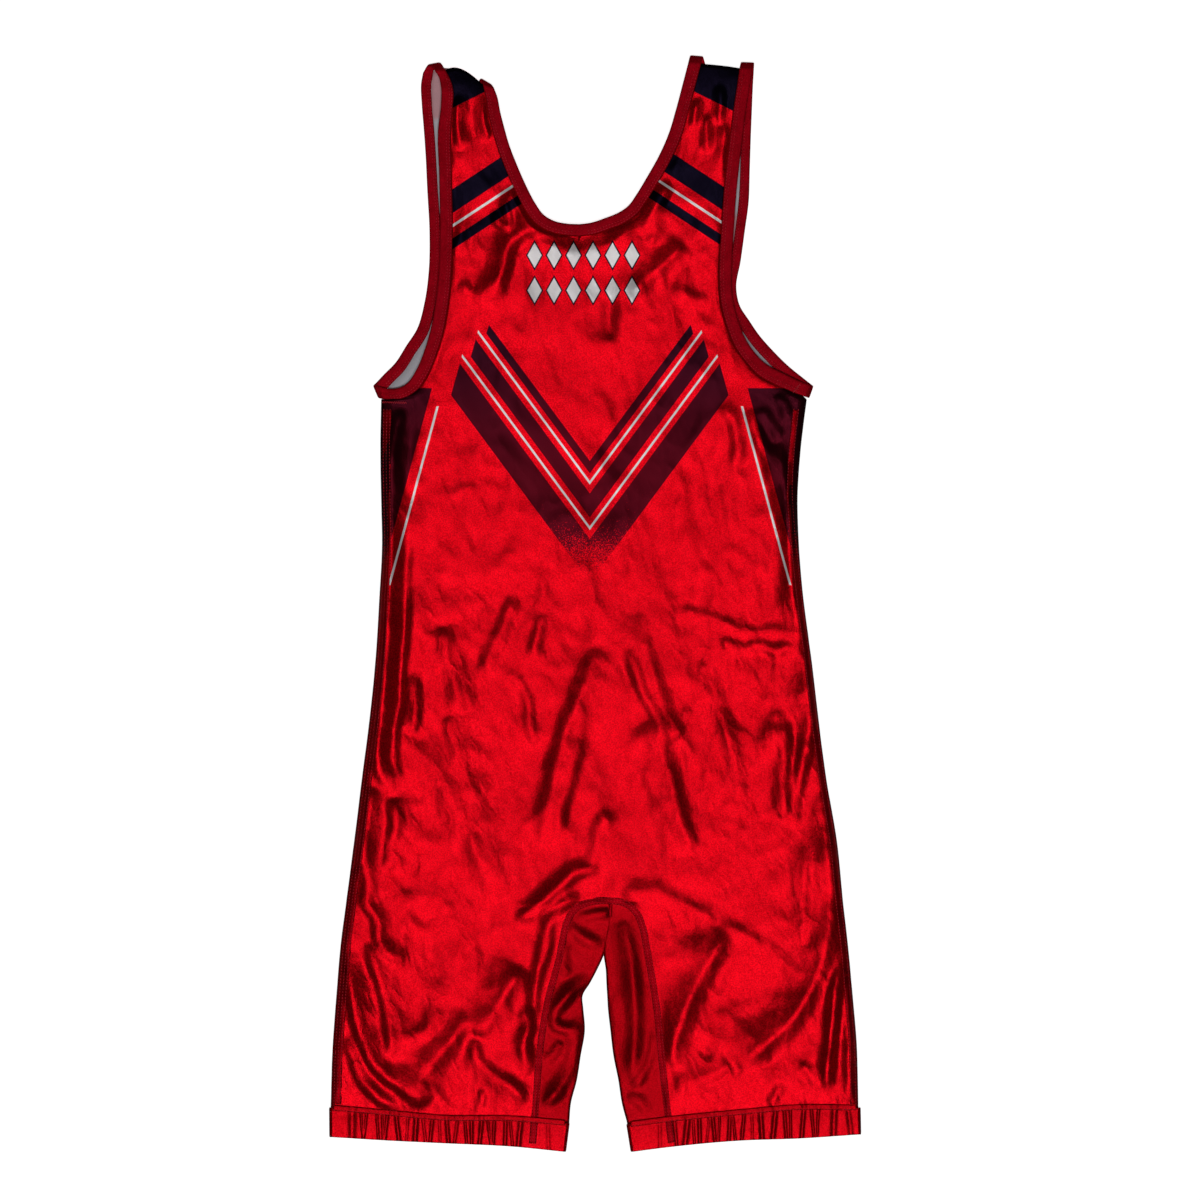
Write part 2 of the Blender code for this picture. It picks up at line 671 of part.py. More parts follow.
back_halves = []
for column, seam, arm, neck, hem_table, bow in (
    (1, SEAM_LEFT, arm_upper_left, neck_upper_left, HEM_LEFT, SHOULDER_BOW_LEFT),
    (2, SEAM_RIGHT, arm_upper_right, neck_upper_right, HEM_RIGHT, SHOULDER_BOW_RIGHT),
):
    outer, inner = half_paths(column, seam, arm, neck, BACK_ROWS)
    heights = back_heights(BACK_ROWS, hem_table)
    rows = panel_rows(outer, inner, BACK_COLUMNS, heights)
    back_halves.append(bowed(on_hem(rows, hem_table), bow))
panel("back_panel", back_halves, CLOTH)

front_halves = []
for column, seam, arm, neck, hem_table, bow in (
    (1, SEAM_LEFT, arm_lower_left[::-1], neck_lower_left, HEM_LEFT, SHOULDER_BOW_LEFT),
    (2, SEAM_RIGHT, arm_lower_right[::-1], neck_lower_right, HEM_RIGHT, SHOULDER_BOW_RIGHT),
):
    outer, inner = half_paths(column, seam, arm, neck, FRONT_ROWS)
    rows = panel_rows(outer, inner, FRONT_COLUMNS, lambda *place: FRONT_MID)
    front_halves.append(bowed(on_hem(rows, hem_table), bow))
panel("front_panel", front_halves, CLOTH)

inner_leg("inner_leg_panel_left", SEAM_LEFT, INSIDE_LEFT, HEM_LEFT)
inner_leg("inner_leg_panel_right", SEAM_RIGHT, INSIDE_RIGHT, HEM_RIGHT)
binding("armhole_binding_left", arm_upper_left, ARM_LEFT_SHOULDER, arm_lower_left, ARM_LEFT_PIT)
binding("armhole_binding_right", arm_upper_right, ARM_RIGHT_SHOULDER, arm_lower_right, ARM_RIGHT_PIT)

neck_upper = np.concatenate([neck_upper_left[::-1], neck_upper_right[1:]])
neck_lower = np.concatenate([neck_lower_right[::-1], neck_lower_left[1:]])
binding("neck_binding", neck_upper, NECK_RIGHT_SHOULDER, neck_lower, NECK_LEFT_SHOULDER)
hem("leg_hem_left", HEM_LEFT, GATHERS_LEFT)
hem("leg_hem_right", HEM_RIGHT, GATHERS_RIGHT)
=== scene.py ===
# %% [markdown]
# # A wrestling singlet, laid flat
# The singlet lies on its front with its back on top. Every length is in metres in Blender, and in
# millimetres in the tables, which is how a pattern cutter writes them. MM turns one into the other.

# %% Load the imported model
import math
from functools import reduce

import bmesh
import bpy
import numpy as np
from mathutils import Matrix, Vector
from mathutils import noise as mathutils_noise
from mathutils.bvhtree import BVHTree


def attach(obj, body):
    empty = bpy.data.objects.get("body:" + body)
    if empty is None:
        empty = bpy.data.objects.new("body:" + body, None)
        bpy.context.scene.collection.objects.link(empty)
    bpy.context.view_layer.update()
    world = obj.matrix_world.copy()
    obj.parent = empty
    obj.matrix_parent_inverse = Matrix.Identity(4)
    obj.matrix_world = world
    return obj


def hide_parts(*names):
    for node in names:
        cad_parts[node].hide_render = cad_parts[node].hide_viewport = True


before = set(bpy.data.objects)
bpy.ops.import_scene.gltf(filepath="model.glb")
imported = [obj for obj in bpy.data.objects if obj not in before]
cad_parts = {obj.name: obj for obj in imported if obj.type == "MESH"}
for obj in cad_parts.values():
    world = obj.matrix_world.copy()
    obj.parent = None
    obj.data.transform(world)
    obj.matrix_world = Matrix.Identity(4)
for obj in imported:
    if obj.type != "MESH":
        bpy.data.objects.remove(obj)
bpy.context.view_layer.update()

MM = 0.001
print("nodes:", ", ".join(sorted(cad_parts)))

# %% [markdown]
# ## Camera, floor and light
# A garment is catalogued from straight above, so the camera looks down and the frame is 924 mm wide
# where the cloth lies. A long lens keeps the two legs the same size. A large soft light hangs above it,
# and a narrow strip light stands on each side of that. Flat satin reflects the large one and is a middle
# red; a slope of a few degrees faces a strip and is brightest; a steeper one turns away from all and is
# dark.

# %% Camera
CAMERA_HEIGHT = 14.0
SENSOR = 36.0                   # mm, as of a full-frame camera
FRAME_WIDTH = 0.924
FRAME_MIDDLE = (0.00385, 0.0027)


def add_object(name, data):
    """An object in the scene that shows this data."""
    made = bpy.data.objects.new(name, data)
    bpy.context.scene.collection.objects.link(made)
    return made


camera_data = bpy.data.cameras.new("overhead_camera")
camera_data.sensor_width = SENSOR
camera_data.lens = SENSOR * CAMERA_HEIGHT / FRAME_WIDTH
camera = add_object("overhead_camera", camera_data)
camera.location = (*FRAME_MIDDLE, CAMERA_HEIGHT)
bpy.context.scene.camera = camera
bpy.context.scene.view_settings.view_transform = "Standard"
print("lens", round(camera_data.lens, 1), "mm")

# %% Lights
LIGHTS_Y, LIGHTS_Z = -5.4, 20.0     # past the foot of the frame, and above the camera
STRIP_OUT = 3.4                     # how far to each side a strip light stands
WHITE = (1.0, 1.0, 1.0, 1.0)


def area_light(name, x, size, watts):
    """A rectangular soft light that looks at the garment."""
    data = bpy.data.lights.new(name, "AREA")
    data.shape = "RECTANGLE"
    data.size, data.size_y = size
    data.energy = watts
    place = Vector((x, LIGHTS_Y, LIGHTS_Z))
    lamp = add_object(name, data)
    lamp.location = place
    lamp.rotation_euler = (-place).to_track_quat("-Z", "Y").to_euler()


area_light("softbox_above", 0.0, (3.0, 6.0), 255.0)
for side in (-1, 1):
    area_light("strip_light", side * STRIP_OUT, (1.2, 6.0), 465.0)
world = bpy.data.worlds.new("studio")
world.use_nodes = True
world.node_tree.nodes["Background"].inputs["Color"].default_value = WHITE
world.node_tree.nodes["Background"].inputs["Strength"].default_value = 0.055
bpy.context.scene.world = world
print("lights:", len(bpy.data.lights))

# %% Floor
FLOOR_HALF = 4.0
FLOOR_DROP = 0.0004             # clear of the underside, so the two never flicker


def new_material(name):
    """A material, and its shader."""
    material = bpy.data.materials.new(name)
    material.use_nodes = True
    return material, material.node_tree.nodes["Principled BSDF"]


def fill(node, inputs):
    """Sets a node's inputs. A number or colour is stored, and another node's output is linked."""
    for label, value in inputs.items():
        value = getattr(value, "socket", value)
        if isinstance(value, bpy.types.NodeSocket):
            node.id_data.links.new(value, node.inputs[label])
        else:
            node.inputs[label].default_value = value


paper, shader = new_material("pale_paper")
fill(shader, {
    "Base Color": (0.93, 0.93, 0.93, 1.0), "Roughness": 0.9, "Specular IOR Level": 0.1,
    "Emission Color": WHITE, "Emission Strength": 0.8,
})
floor_mesh = bpy.data.meshes.new("pale_floor")
corners = [(x * FLOOR_HALF, y * FLOOR_HALF, 0) for x, y in ((-1, -1), (1, -1), (1, 1), (-1, 1))]
floor_mesh.from_pydata(corners, [], [(0, 1, 2, 3)])
floor_mesh.materials.append(paper)
floor = add_object("pale_floor", floor_mesh)
floor.location.z = -FLOOR_DROP
floor.visible_glossy = False    # the satin must not mirror the bright paper along its folded sides
print("floor set", FLOOR_DROP / MM, "mm below the cloth")

# %% [markdown]
# ## The pattern
# These tables say where each piece ends as the singlet lies: side edges, inner-leg seams, hems and
# bindings. A row is one section, and a smooth curve runs through the rows, so a few rows give a whole
# edge. Where two pieces meet, both are worked out from the same rows and so always fit.

# %% Sizes of the cloth
CLOTH = 1.2             # knit wall
BAND = 1.6              # folded binding
HEM = 1.4               # doubled elastic hem
FRONT_MID = 0.6         # height of the lower layer's middle
SIDE_MID = 2.4          # height of the upper layer's middle at the side seam
CROTCH_MID = 4.6        # the same at the inner-leg seam
HEM_MID = 3.6           # the same at the leg hem
TOP_MID = 3.2           # the same at the shoulder fold
LOFT_MID = 5.4          # height that the upper layer rests at between its edges
LEAST_MID = 2.8         # lowest that a trough takes it
SIDE_ROUND = 8.0        # how far in from the side the upper layer takes to get there
SEAM_ROUND = 26.0       # the same from the inner-leg seam
EDGE_ROUND = 12.0       # the same from neck and armholes
TOP_ROUND = 26.0        # the same from the shoulder fold
HEM_ROUND = 30.0        # the same from the hem
INNER_FOLD = 1.4        # radius of the fold along the inside of each leg
FOLD_MID = FRONT_MID + INNER_FOLD
STRAP_STEP = 2.6        # between rows of the back on a strap
print("a loft of", LOFT_MID, "mm over walls of", CLOTH, "mm")

# %% Edge tables, in millimetres
# Side edge from the armpit down to the hem: y, x of the left side, x of the right side
SIDE = (
    (157, -164.4, 162.6), (118, -164.8, 157.9), (72, -164, 155.5), (49, -163.4, 156.3),
    (3, -165.6, 160.2), (-44, -168.6, 166.3), (-90, -173.3, 171.7), (-136, -179.2, 177.9),
    (-182, -184.8, 185.6), (-228, -191, 190.4), (-265, -195.6, 194.6), (-302, -198.7, 197.9),
    (-339, -201.6, 201), (-386.5, -203.2, 202.4),
)
CROTCH = (12.0, -228.8)         # top of the arch of the inner-leg seam
CHEST_LOW = (-6.0, 146.0)       # on the middle line, level with the armpits

# Inner-leg seam, from the hem up to the top of the arch: x, y
SEAM_LEFT = (
    (-46.6, -396.6), (-45.4, -382), (-42.4, -344), (-37.7, -312), (-31.4, -287), (-27.4, -272),
    (-24.6, -258), (-20.8, -243.5), (-14.5, -234.6), (-2.5, -229.6), CROTCH,
)
SEAM_RIGHT = (
    (56.6, -396), (54, -375), (50.8, -344), (47.6, -312), (44.4, -291), (41.6, -275), (39.2, -262),
    (36.4, -248), (31.6, -237.6), (23, -230.6), CROTCH,
)
# Fold along the inside of each leg, from the hem up to where the legs meet: x, y
INSIDE_LEFT = (
    (-20.4, -399.2), (-19.2, -385), (-14.6, -367), (-11.6, -348), (-8.4, -328), (-9.6, -312),
    (-10.2, -302), (-4.4, -292), (0.4, -283), (7.5, -266.6), (10.2, -252), (12.5, -240),
)
INSIDE_RIGHT = (
    (25.4, -400), (21.4, -385), (18.6, -367), (14.8, -348), (12.4, -328), (10.6, -312), (10, -302),
    (9.4, -292), (9, -283), (7.1, -266.6), (9.4, -252), (11.6, -240),
)
# Leg hem, from its outer end to its inner end: x, y of the top edge, x, y of the bottom edge
HEM_LEFT = (
    (-202.6, -388, -202.4, -410.8), (-160, -391.8, -160, -413.4), (-119, -395.6, -119, -415.4),
    (-62, -396.4, -62, -418.2), (-21.6, -399.8, -24.4, -422),
)
HEM_RIGHT = (
    (202.4, -388, 202.8, -408.8), (158, -387.6, 158, -411.8), (110, -391.6, 110, -413.6),
    (56, -397, 56, -418.6), (26.2, -400.8, 29.6, -422),
)
# Gathers of each hem: x of the groove, its depth, half its width
GATHERS_LEFT = (
    (-187, 1.5, 3), (-179.5, 0.9, 0.9), (-176.8, 0.9, 0.9), (-167.4, 1, 0.9), (-163.6, 0.9, 0.8),
    (-160.8, 1.1, 1.2), (-152, 1.2, 1.6), (-144.5, 0.5, 1), (-138, 1.3, 1.8), (-131.5, 0.6, 1.2),
    (-126, 1.1, 1.3), (-119.5, 0.5, 1), (-113.5, 1.2, 1.4), (-107, 0.8, 1.2), (-99.5, 1, 1),
    (-95, 1.1, 1.3), (-88, 1.3, 1.4), (-81.5, 0.9, 0.9), (-78, 1.2, 1.2), (-69, 1.1, 1.4),
    (-64.5, 0.8, 1), (-58, 1.3, 2), (-36, 0.5, 1.5),
)
GATHERS_RIGHT = (
    (50, 0.5, 1.5), (62, 0.8, 1.2), (70.5, 1.4, 2.2), (76, 0.7, 1), (80.5, 1.2, 1.4), (87, 0.6, 0.9),
    (91.5, 1.2, 1.3), (95.5, 0.8, 0.8), (103.5, 1.2, 1.3), (107, 0.9, 0.9), (114, 1.1, 1.2),
    (121, 0.5, 1), (128, 1.4, 1.8), (138, 1.4, 1.8), (146.5, 1.1, 1.2), (150.5, 1, 0.9),
    (160, 1.3, 1.6), (167.5, 1, 1), (171.5, 1, 0.9), (184, 1.4, 2.4), (196, 1, 2),
)
# Bindings, a row for each section: x, y of the free edge, x, y of the sewn edge, height of the middle.
# An armhole's upper rows run from armpit to shoulder and its lower rows back down. The neck's rows run
# from its middle to a shoulder, on both layers.
ARM_LEFT_UPPER = (
    (-166.4, 167.4, -163.6, 157.6, 3.2), (-158.6, 165.4, -156.4, 157.1, 3.8),
    (-151, 166, -147.4, 158.2, 4.8), (-145, 169.2, -138.4, 163, 4.8),
    (-138, 179, -129.6, 174.6, 4.9), (-131.6, 194, -122.6, 190.4, 5), (-126.6, 211, -117, 208.6, 5),
    (-122.8, 232, -113, 231, 5), (-120.2, 258, -110.4, 257.6, 5), (-119.4, 285, -109.6, 285, 5),
    (-120, 330, -110.4, 330, 5), (-120.8, 365, -110.8, 365, 5), (-118.6, 384, -109.4, 384, 5.4),
    (-118.4, 396, -109, 394.4, 5.6), (-120.2, 405, -111.2, 403, 5),
    (-123.4, 410.2, -115.2, 410.6, 5),
)
ARM_LEFT_SHOULDER = (-128.0, 414.4, -119.2, 416.0, 2.9)
ARM_LEFT_LOWER = (
    (-132.4, 408.6, -124.4, 410, 0.8), (-133.9, 400, -125.8, 400, 0.8),
    (-133.4, 385, -125.6, 385, 0.8), (-131.8, 365, -123.8, 365, 0.8),
    (-130.4, 345, -122.4, 345, 0.8), (-129.2, 320, -121, 320, 0.8), (-127.4, 285, -118.8, 285, 0.8),
    (-128, 256, -119.2, 254.6, 0.8), (-131.2, 232, -122.8, 229, 0.8),
    (-137.2, 211, -129.2, 206.6, 0.8), (-145.2, 198.6, -138.4, 192.4, 0.8),
    (-153.6, 185.4, -147.2, 178.8, 0.8), (-162.2, 176.6, -156.6, 169.2, 0.8),
    (-168.4, 170, -163.8, 161.2, 0.8),
)
ARM_LEFT_PIT = (-170.2, 167.8, -166.2, 158.4, 2.0)
ARM_RIGHT_UPPER = (
    (165.6, 168.4, 162.2, 159, 3.2), (157.6, 171.4, 154, 162, 3.8), (149, 175.4, 145, 165.8, 4.6),
    (141, 179.2, 136, 169.8, 4.8), (132.4, 184, 126, 175.6, 4.8), (123.6, 192.4, 115.8, 186.2, 4.9),
    (116.2, 203.4, 107.4, 198.4, 5), (110.6, 217, 101.2, 214, 5), (106.8, 231, 97.2, 229.6, 5),
    (105.2, 246, 95.6, 246, 5), (105.4, 262, 95.6, 263, 5), (106.8, 285, 97, 286, 5),
    (108.8, 315, 99, 316, 5), (111.2, 338, 101.4, 339.2, 5), (114, 362, 104.4, 363.4, 5),
    (117, 385, 107.4, 386.4, 5), (119.2, 399, 109.6, 400.4, 4.9), (121, 411.4, 111.2, 412, 4.8),
)
ARM_RIGHT_SHOULDER = (122.4, 415.8, 112.4, 416.2, 2.8)
ARM_RIGHT_LOWER = (
    (122.3, 411, 113.2, 411, 0.8), (121.6, 399, 112.8, 399, 0.8), (120.8, 380, 112.6, 380, 0.8),
    (120, 360, 112.2, 360, 0.8), (119.2, 335, 111.8, 335, 0.8), (118.2, 308, 110.4, 308, 0.8),
    (115.5, 288, 107.8, 287, 0.8), (112.2, 264, 104.2, 263, 0.8), (108.8, 242.6, 100.4, 239, 0.8),
    (111.6, 229, 104.6, 223.4, 0.8), (118.6, 218, 112, 211.8, 0.8), (126.4, 206.6, 120, 200.2, 0.8),
    (136.4, 195.2, 130.6, 188.2, 0.8), (148, 183.6, 142.4, 176.4, 0.8),
    (163, 171.4, 158.4, 163.6, 0.8),
)
ARM_RIGHT_PIT = (167.4, 167.6, 164.2, 158.4, 2.0)
NECK_UPPER_LEFT = (
    (-12, 292, -12, 283, 4.8), (-21, 292.4, -22, 283.6, 4.8), (-31, 294.4, -34.4, 286.2, 4.8),
    (-39.6, 299.4, -46, 292.8, 4.8), (-46, 308.2, -54, 303.4, 4.9), (-53.2, 322, -61.6, 318, 5),
    (-60.2, 338, -68.8, 334.4, 5), (-66, 353, -74.8, 350, 5), (-70, 367, -79.2, 365, 5),
    (-72.8, 378, -82, 376.6, 5), (-75.2, 390, -84, 389.4, 4.8), (-77.8, 396.8, -86.2, 399, 4.8),
)
NECK_LEFT_SHOULDER = (-80.0, 398.9, -88.0, 403.8, 2.8)
NECK_UPPER_RIGHT = (
    (-12, 292, -12, 283, 4.8), (-3, 293.2, -0.8, 284.4, 4.8), (8, 296.8, 11.4, 288.4, 4.8),
    (18.6, 301.2, 23, 293.2, 4.8), (25.8, 306.4, 32.4, 300, 4.9), (31.6, 314.4, 39.4, 309.6, 5),
    (40.2, 328.6, 48.4, 324, 5), (49.6, 345.4, 58.2, 341.2, 5), (56.6, 361.4, 65.8, 358, 5),
    (62.4, 380.6, 71.8, 378.2, 5), (67.8, 401, 77.4, 399, 4.8), (71.8, 416.4, 81.6, 415.4, 4.8),
)
NECK_RIGHT_SHOULDER = (73.4, 421.4, 83.0, 420.6, 2.8)
NECK_LOWER_RIGHT = (
    (-4, 226, -4, 216.6, 0.8), (18, 236.6, 23.6, 229, 0.8), (34.6, 262, 43, 257.6, 0.8),
    (45.6, 296, 54.6, 293, 0.8), (53.6, 325, 62.6, 321.8, 0.8), (60.8, 350, 69.8, 346.8, 0.8),
    (67, 375, 76.4, 372.6, 0.8), (72.2, 397, 81.6, 395.4, 0.8), (75.6, 415.6, 85, 415, 0.8),
)
NECK_LOWER_LEFT = (
    (-4, 226, -4, 216.6, 0.8), (-25.6, 236.6, -31.4, 229.2, 0.8), (-43.4, 262, -52, 258.2, 0.8),
    (-54.6, 294, -63.8, 291.6, 0.8), (-62.6, 322, -71.8, 319.6, 0.8), (-70, 347, -79.2, 344.8, 0.8),
    (-76.6, 371, -86, 370.2, 0.8), (-80.6, 386, -90, 387.2, 0.8), (-82.4, 395, -90.6, 400, 0.8),
)
# How far the shoulder fold rises above the straight line between the two bindings
SHOULDER_BOW_LEFT = 5.6
SHOULDER_BOW_RIGHT = 0.4
print("side edge:", len(SIDE), "rows; gathers:", len(GATHERS_LEFT) + len(GATHERS_RIGHT))

# %% [markdown]
# ## From tables to curves and grids
# A Hermite spline through the rows of a table gives as many even stations as a piece needs. A panel is
# then a grid: each row runs from a station on its outer edge to the matching one on its inner edge.
# Because the grid follows the edges, its quads stay even and the outline stays smooth.

# %% Curves through tables
def along(rows, count):
    """count rows evenly spaced along a table, on a smooth curve through each of its rows."""
    points = np.array(rows, float)
    steps = np.linalg.norm(np.diff(points[:, :2], axis=0), axis=1)
    if points.shape[1] > 3:
        steps = steps / 2 + np.linalg.norm(np.diff(points[:, 2:4], axis=0), axis=1) / 2
    at = np.concatenate([[0.0], np.cumsum(steps)])
    slopes = np.gradient(points, at, axis=0)
    wanted = np.linspace(0.0, at[-1], count)
    left = np.clip(np.searchsorted(at, wanted, side="right") - 1, 0, len(at) - 2)
    width = at[left + 1] - at[left]
    t = ((wanted - at[left]) / width)[:, None]
    width = width[:, None]
    return (
        (1 + 2 * t) * (1 - t) ** 2 * points[left]
        + t * (1 - t) ** 2 * width * slopes[left]
        + t ** 2 * (3 - 2 * t) * points[left + 1]
        + t ** 2 * (t - 1) * width * slopes[left + 1]
    )


def flat_line(points, count):
    """The same for a line of x and y only."""
    return along([(x, y, 0.0) for x, y in points], count)[:, :2]


def eased(distance, reach):
    """0 at an edge, rising to 1 at this distance from it."""
    t = np.clip(distance / reach, 0.0, 1.0)
    return 1 - (1 - t) ** 2


def hem_top(hem, x):
    """Height up the garment of a hem's top edge at x."""
    rows = sorted((row[0], row[1]) for row in hem)
    return np.interp(x, [row[0] for row in rows], [row[1] for row in rows])


print("hem height at x = 100:", round(float(hem_top(HEM_RIGHT, 100)), 1), "mm")

# %% Stations of a half panel
SIDE_SAMPLES = 400
HEM_REACH = 40.0        # how far up the panel its rows bend to follow the hem
BOW_REACH = 34.0        # how far down from the shoulder they bend to follow its fold


def half_paths(column, seam, arm, neck, rows):
    """Outer and inner stations of half a panel, from the hem to the shoulder."""
    leg, body, chest = rows["leg"], rows["body"], rows["chest"]
    side = along([(row[column], row[0], SIDE_MID) for row in reversed(SIDE)], SIDE_SAMPLES)
    samples = np.arange(SIDE_SAMPLES)
    turn = float(np.interp(CROTCH[1], side[:, 1], samples))
    stations = np.linspace(turn, SIDE_SAMPLES - 1, body + 1)[1:]
    stations = np.concatenate([np.linspace(0, turn, leg + 1), stations])
    side = np.column_stack([np.interp(stations, samples, side[:, k]) for k in range(3)])
    outer = np.concatenate([side, arm[1:, 2:]])
    seam = np.column_stack([along(seam, leg + 1), np.full(leg + 1, CROTCH_MID)])
    neck = neck[:, 2:]
    crotch = np.array([*CROTCH, LOFT_MID])
    chest_low = np.array([*CHEST_LOW, LOFT_MID])
    belly = np.linspace(crotch, chest_low, body + 1)
    upper = np.linspace(chest_low, neck[0], chest + 1)
    return outer, np.concatenate([seam, belly[1:], upper[1:], neck[1:]])


def half_plan(outer, inner, columns, hem, bow):
    """x and y of every point of a half panel, rows by columns, and the distances to its edges."""
    share = np.linspace(0.0, 1.0, columns + 1)[None, :]
    x = outer[:, :1] + share * (inner[:, :1] - outer[:, :1])
    y = outer[:, 1:2] + share * (inner[:, 1:2] - outer[:, 1:2])
    across = np.hypot(inner[:, 0] - outer[:, 0], inner[:, 1] - outer[:, 1])[:, None]
    reach = np.clip(1 - (y - y[0]) / HEM_REACH, 0.0, 1.0)
    y = y + reach * (hem_top(hem, x[0]) - y[0])
    from_top = (np.arange(len(y))[::-1] * STRAP_STEP)[:, None]
    lift = bow * np.clip(1 - from_top / BOW_REACH, 0.0, 1.0) ** 1.5
    y = y + lift * 4 * share * (1 - share) * (1.3 - 0.6 * share)
    return x, y, share * across, (1 - share) * across, from_top


print("a panel's side edge is sampled at", SIDE_SAMPLES, "places")

# %% [markdown]
# ## Creases
# A crease is a ridge or trough that follows a line. Each row names the line by a few points, says how far
# the slope reaches on its left and on its right, and gives the height of its crest. A short reach makes a
# steep side and a long one a gentle side, which is how thin satin falls. No two are alike.

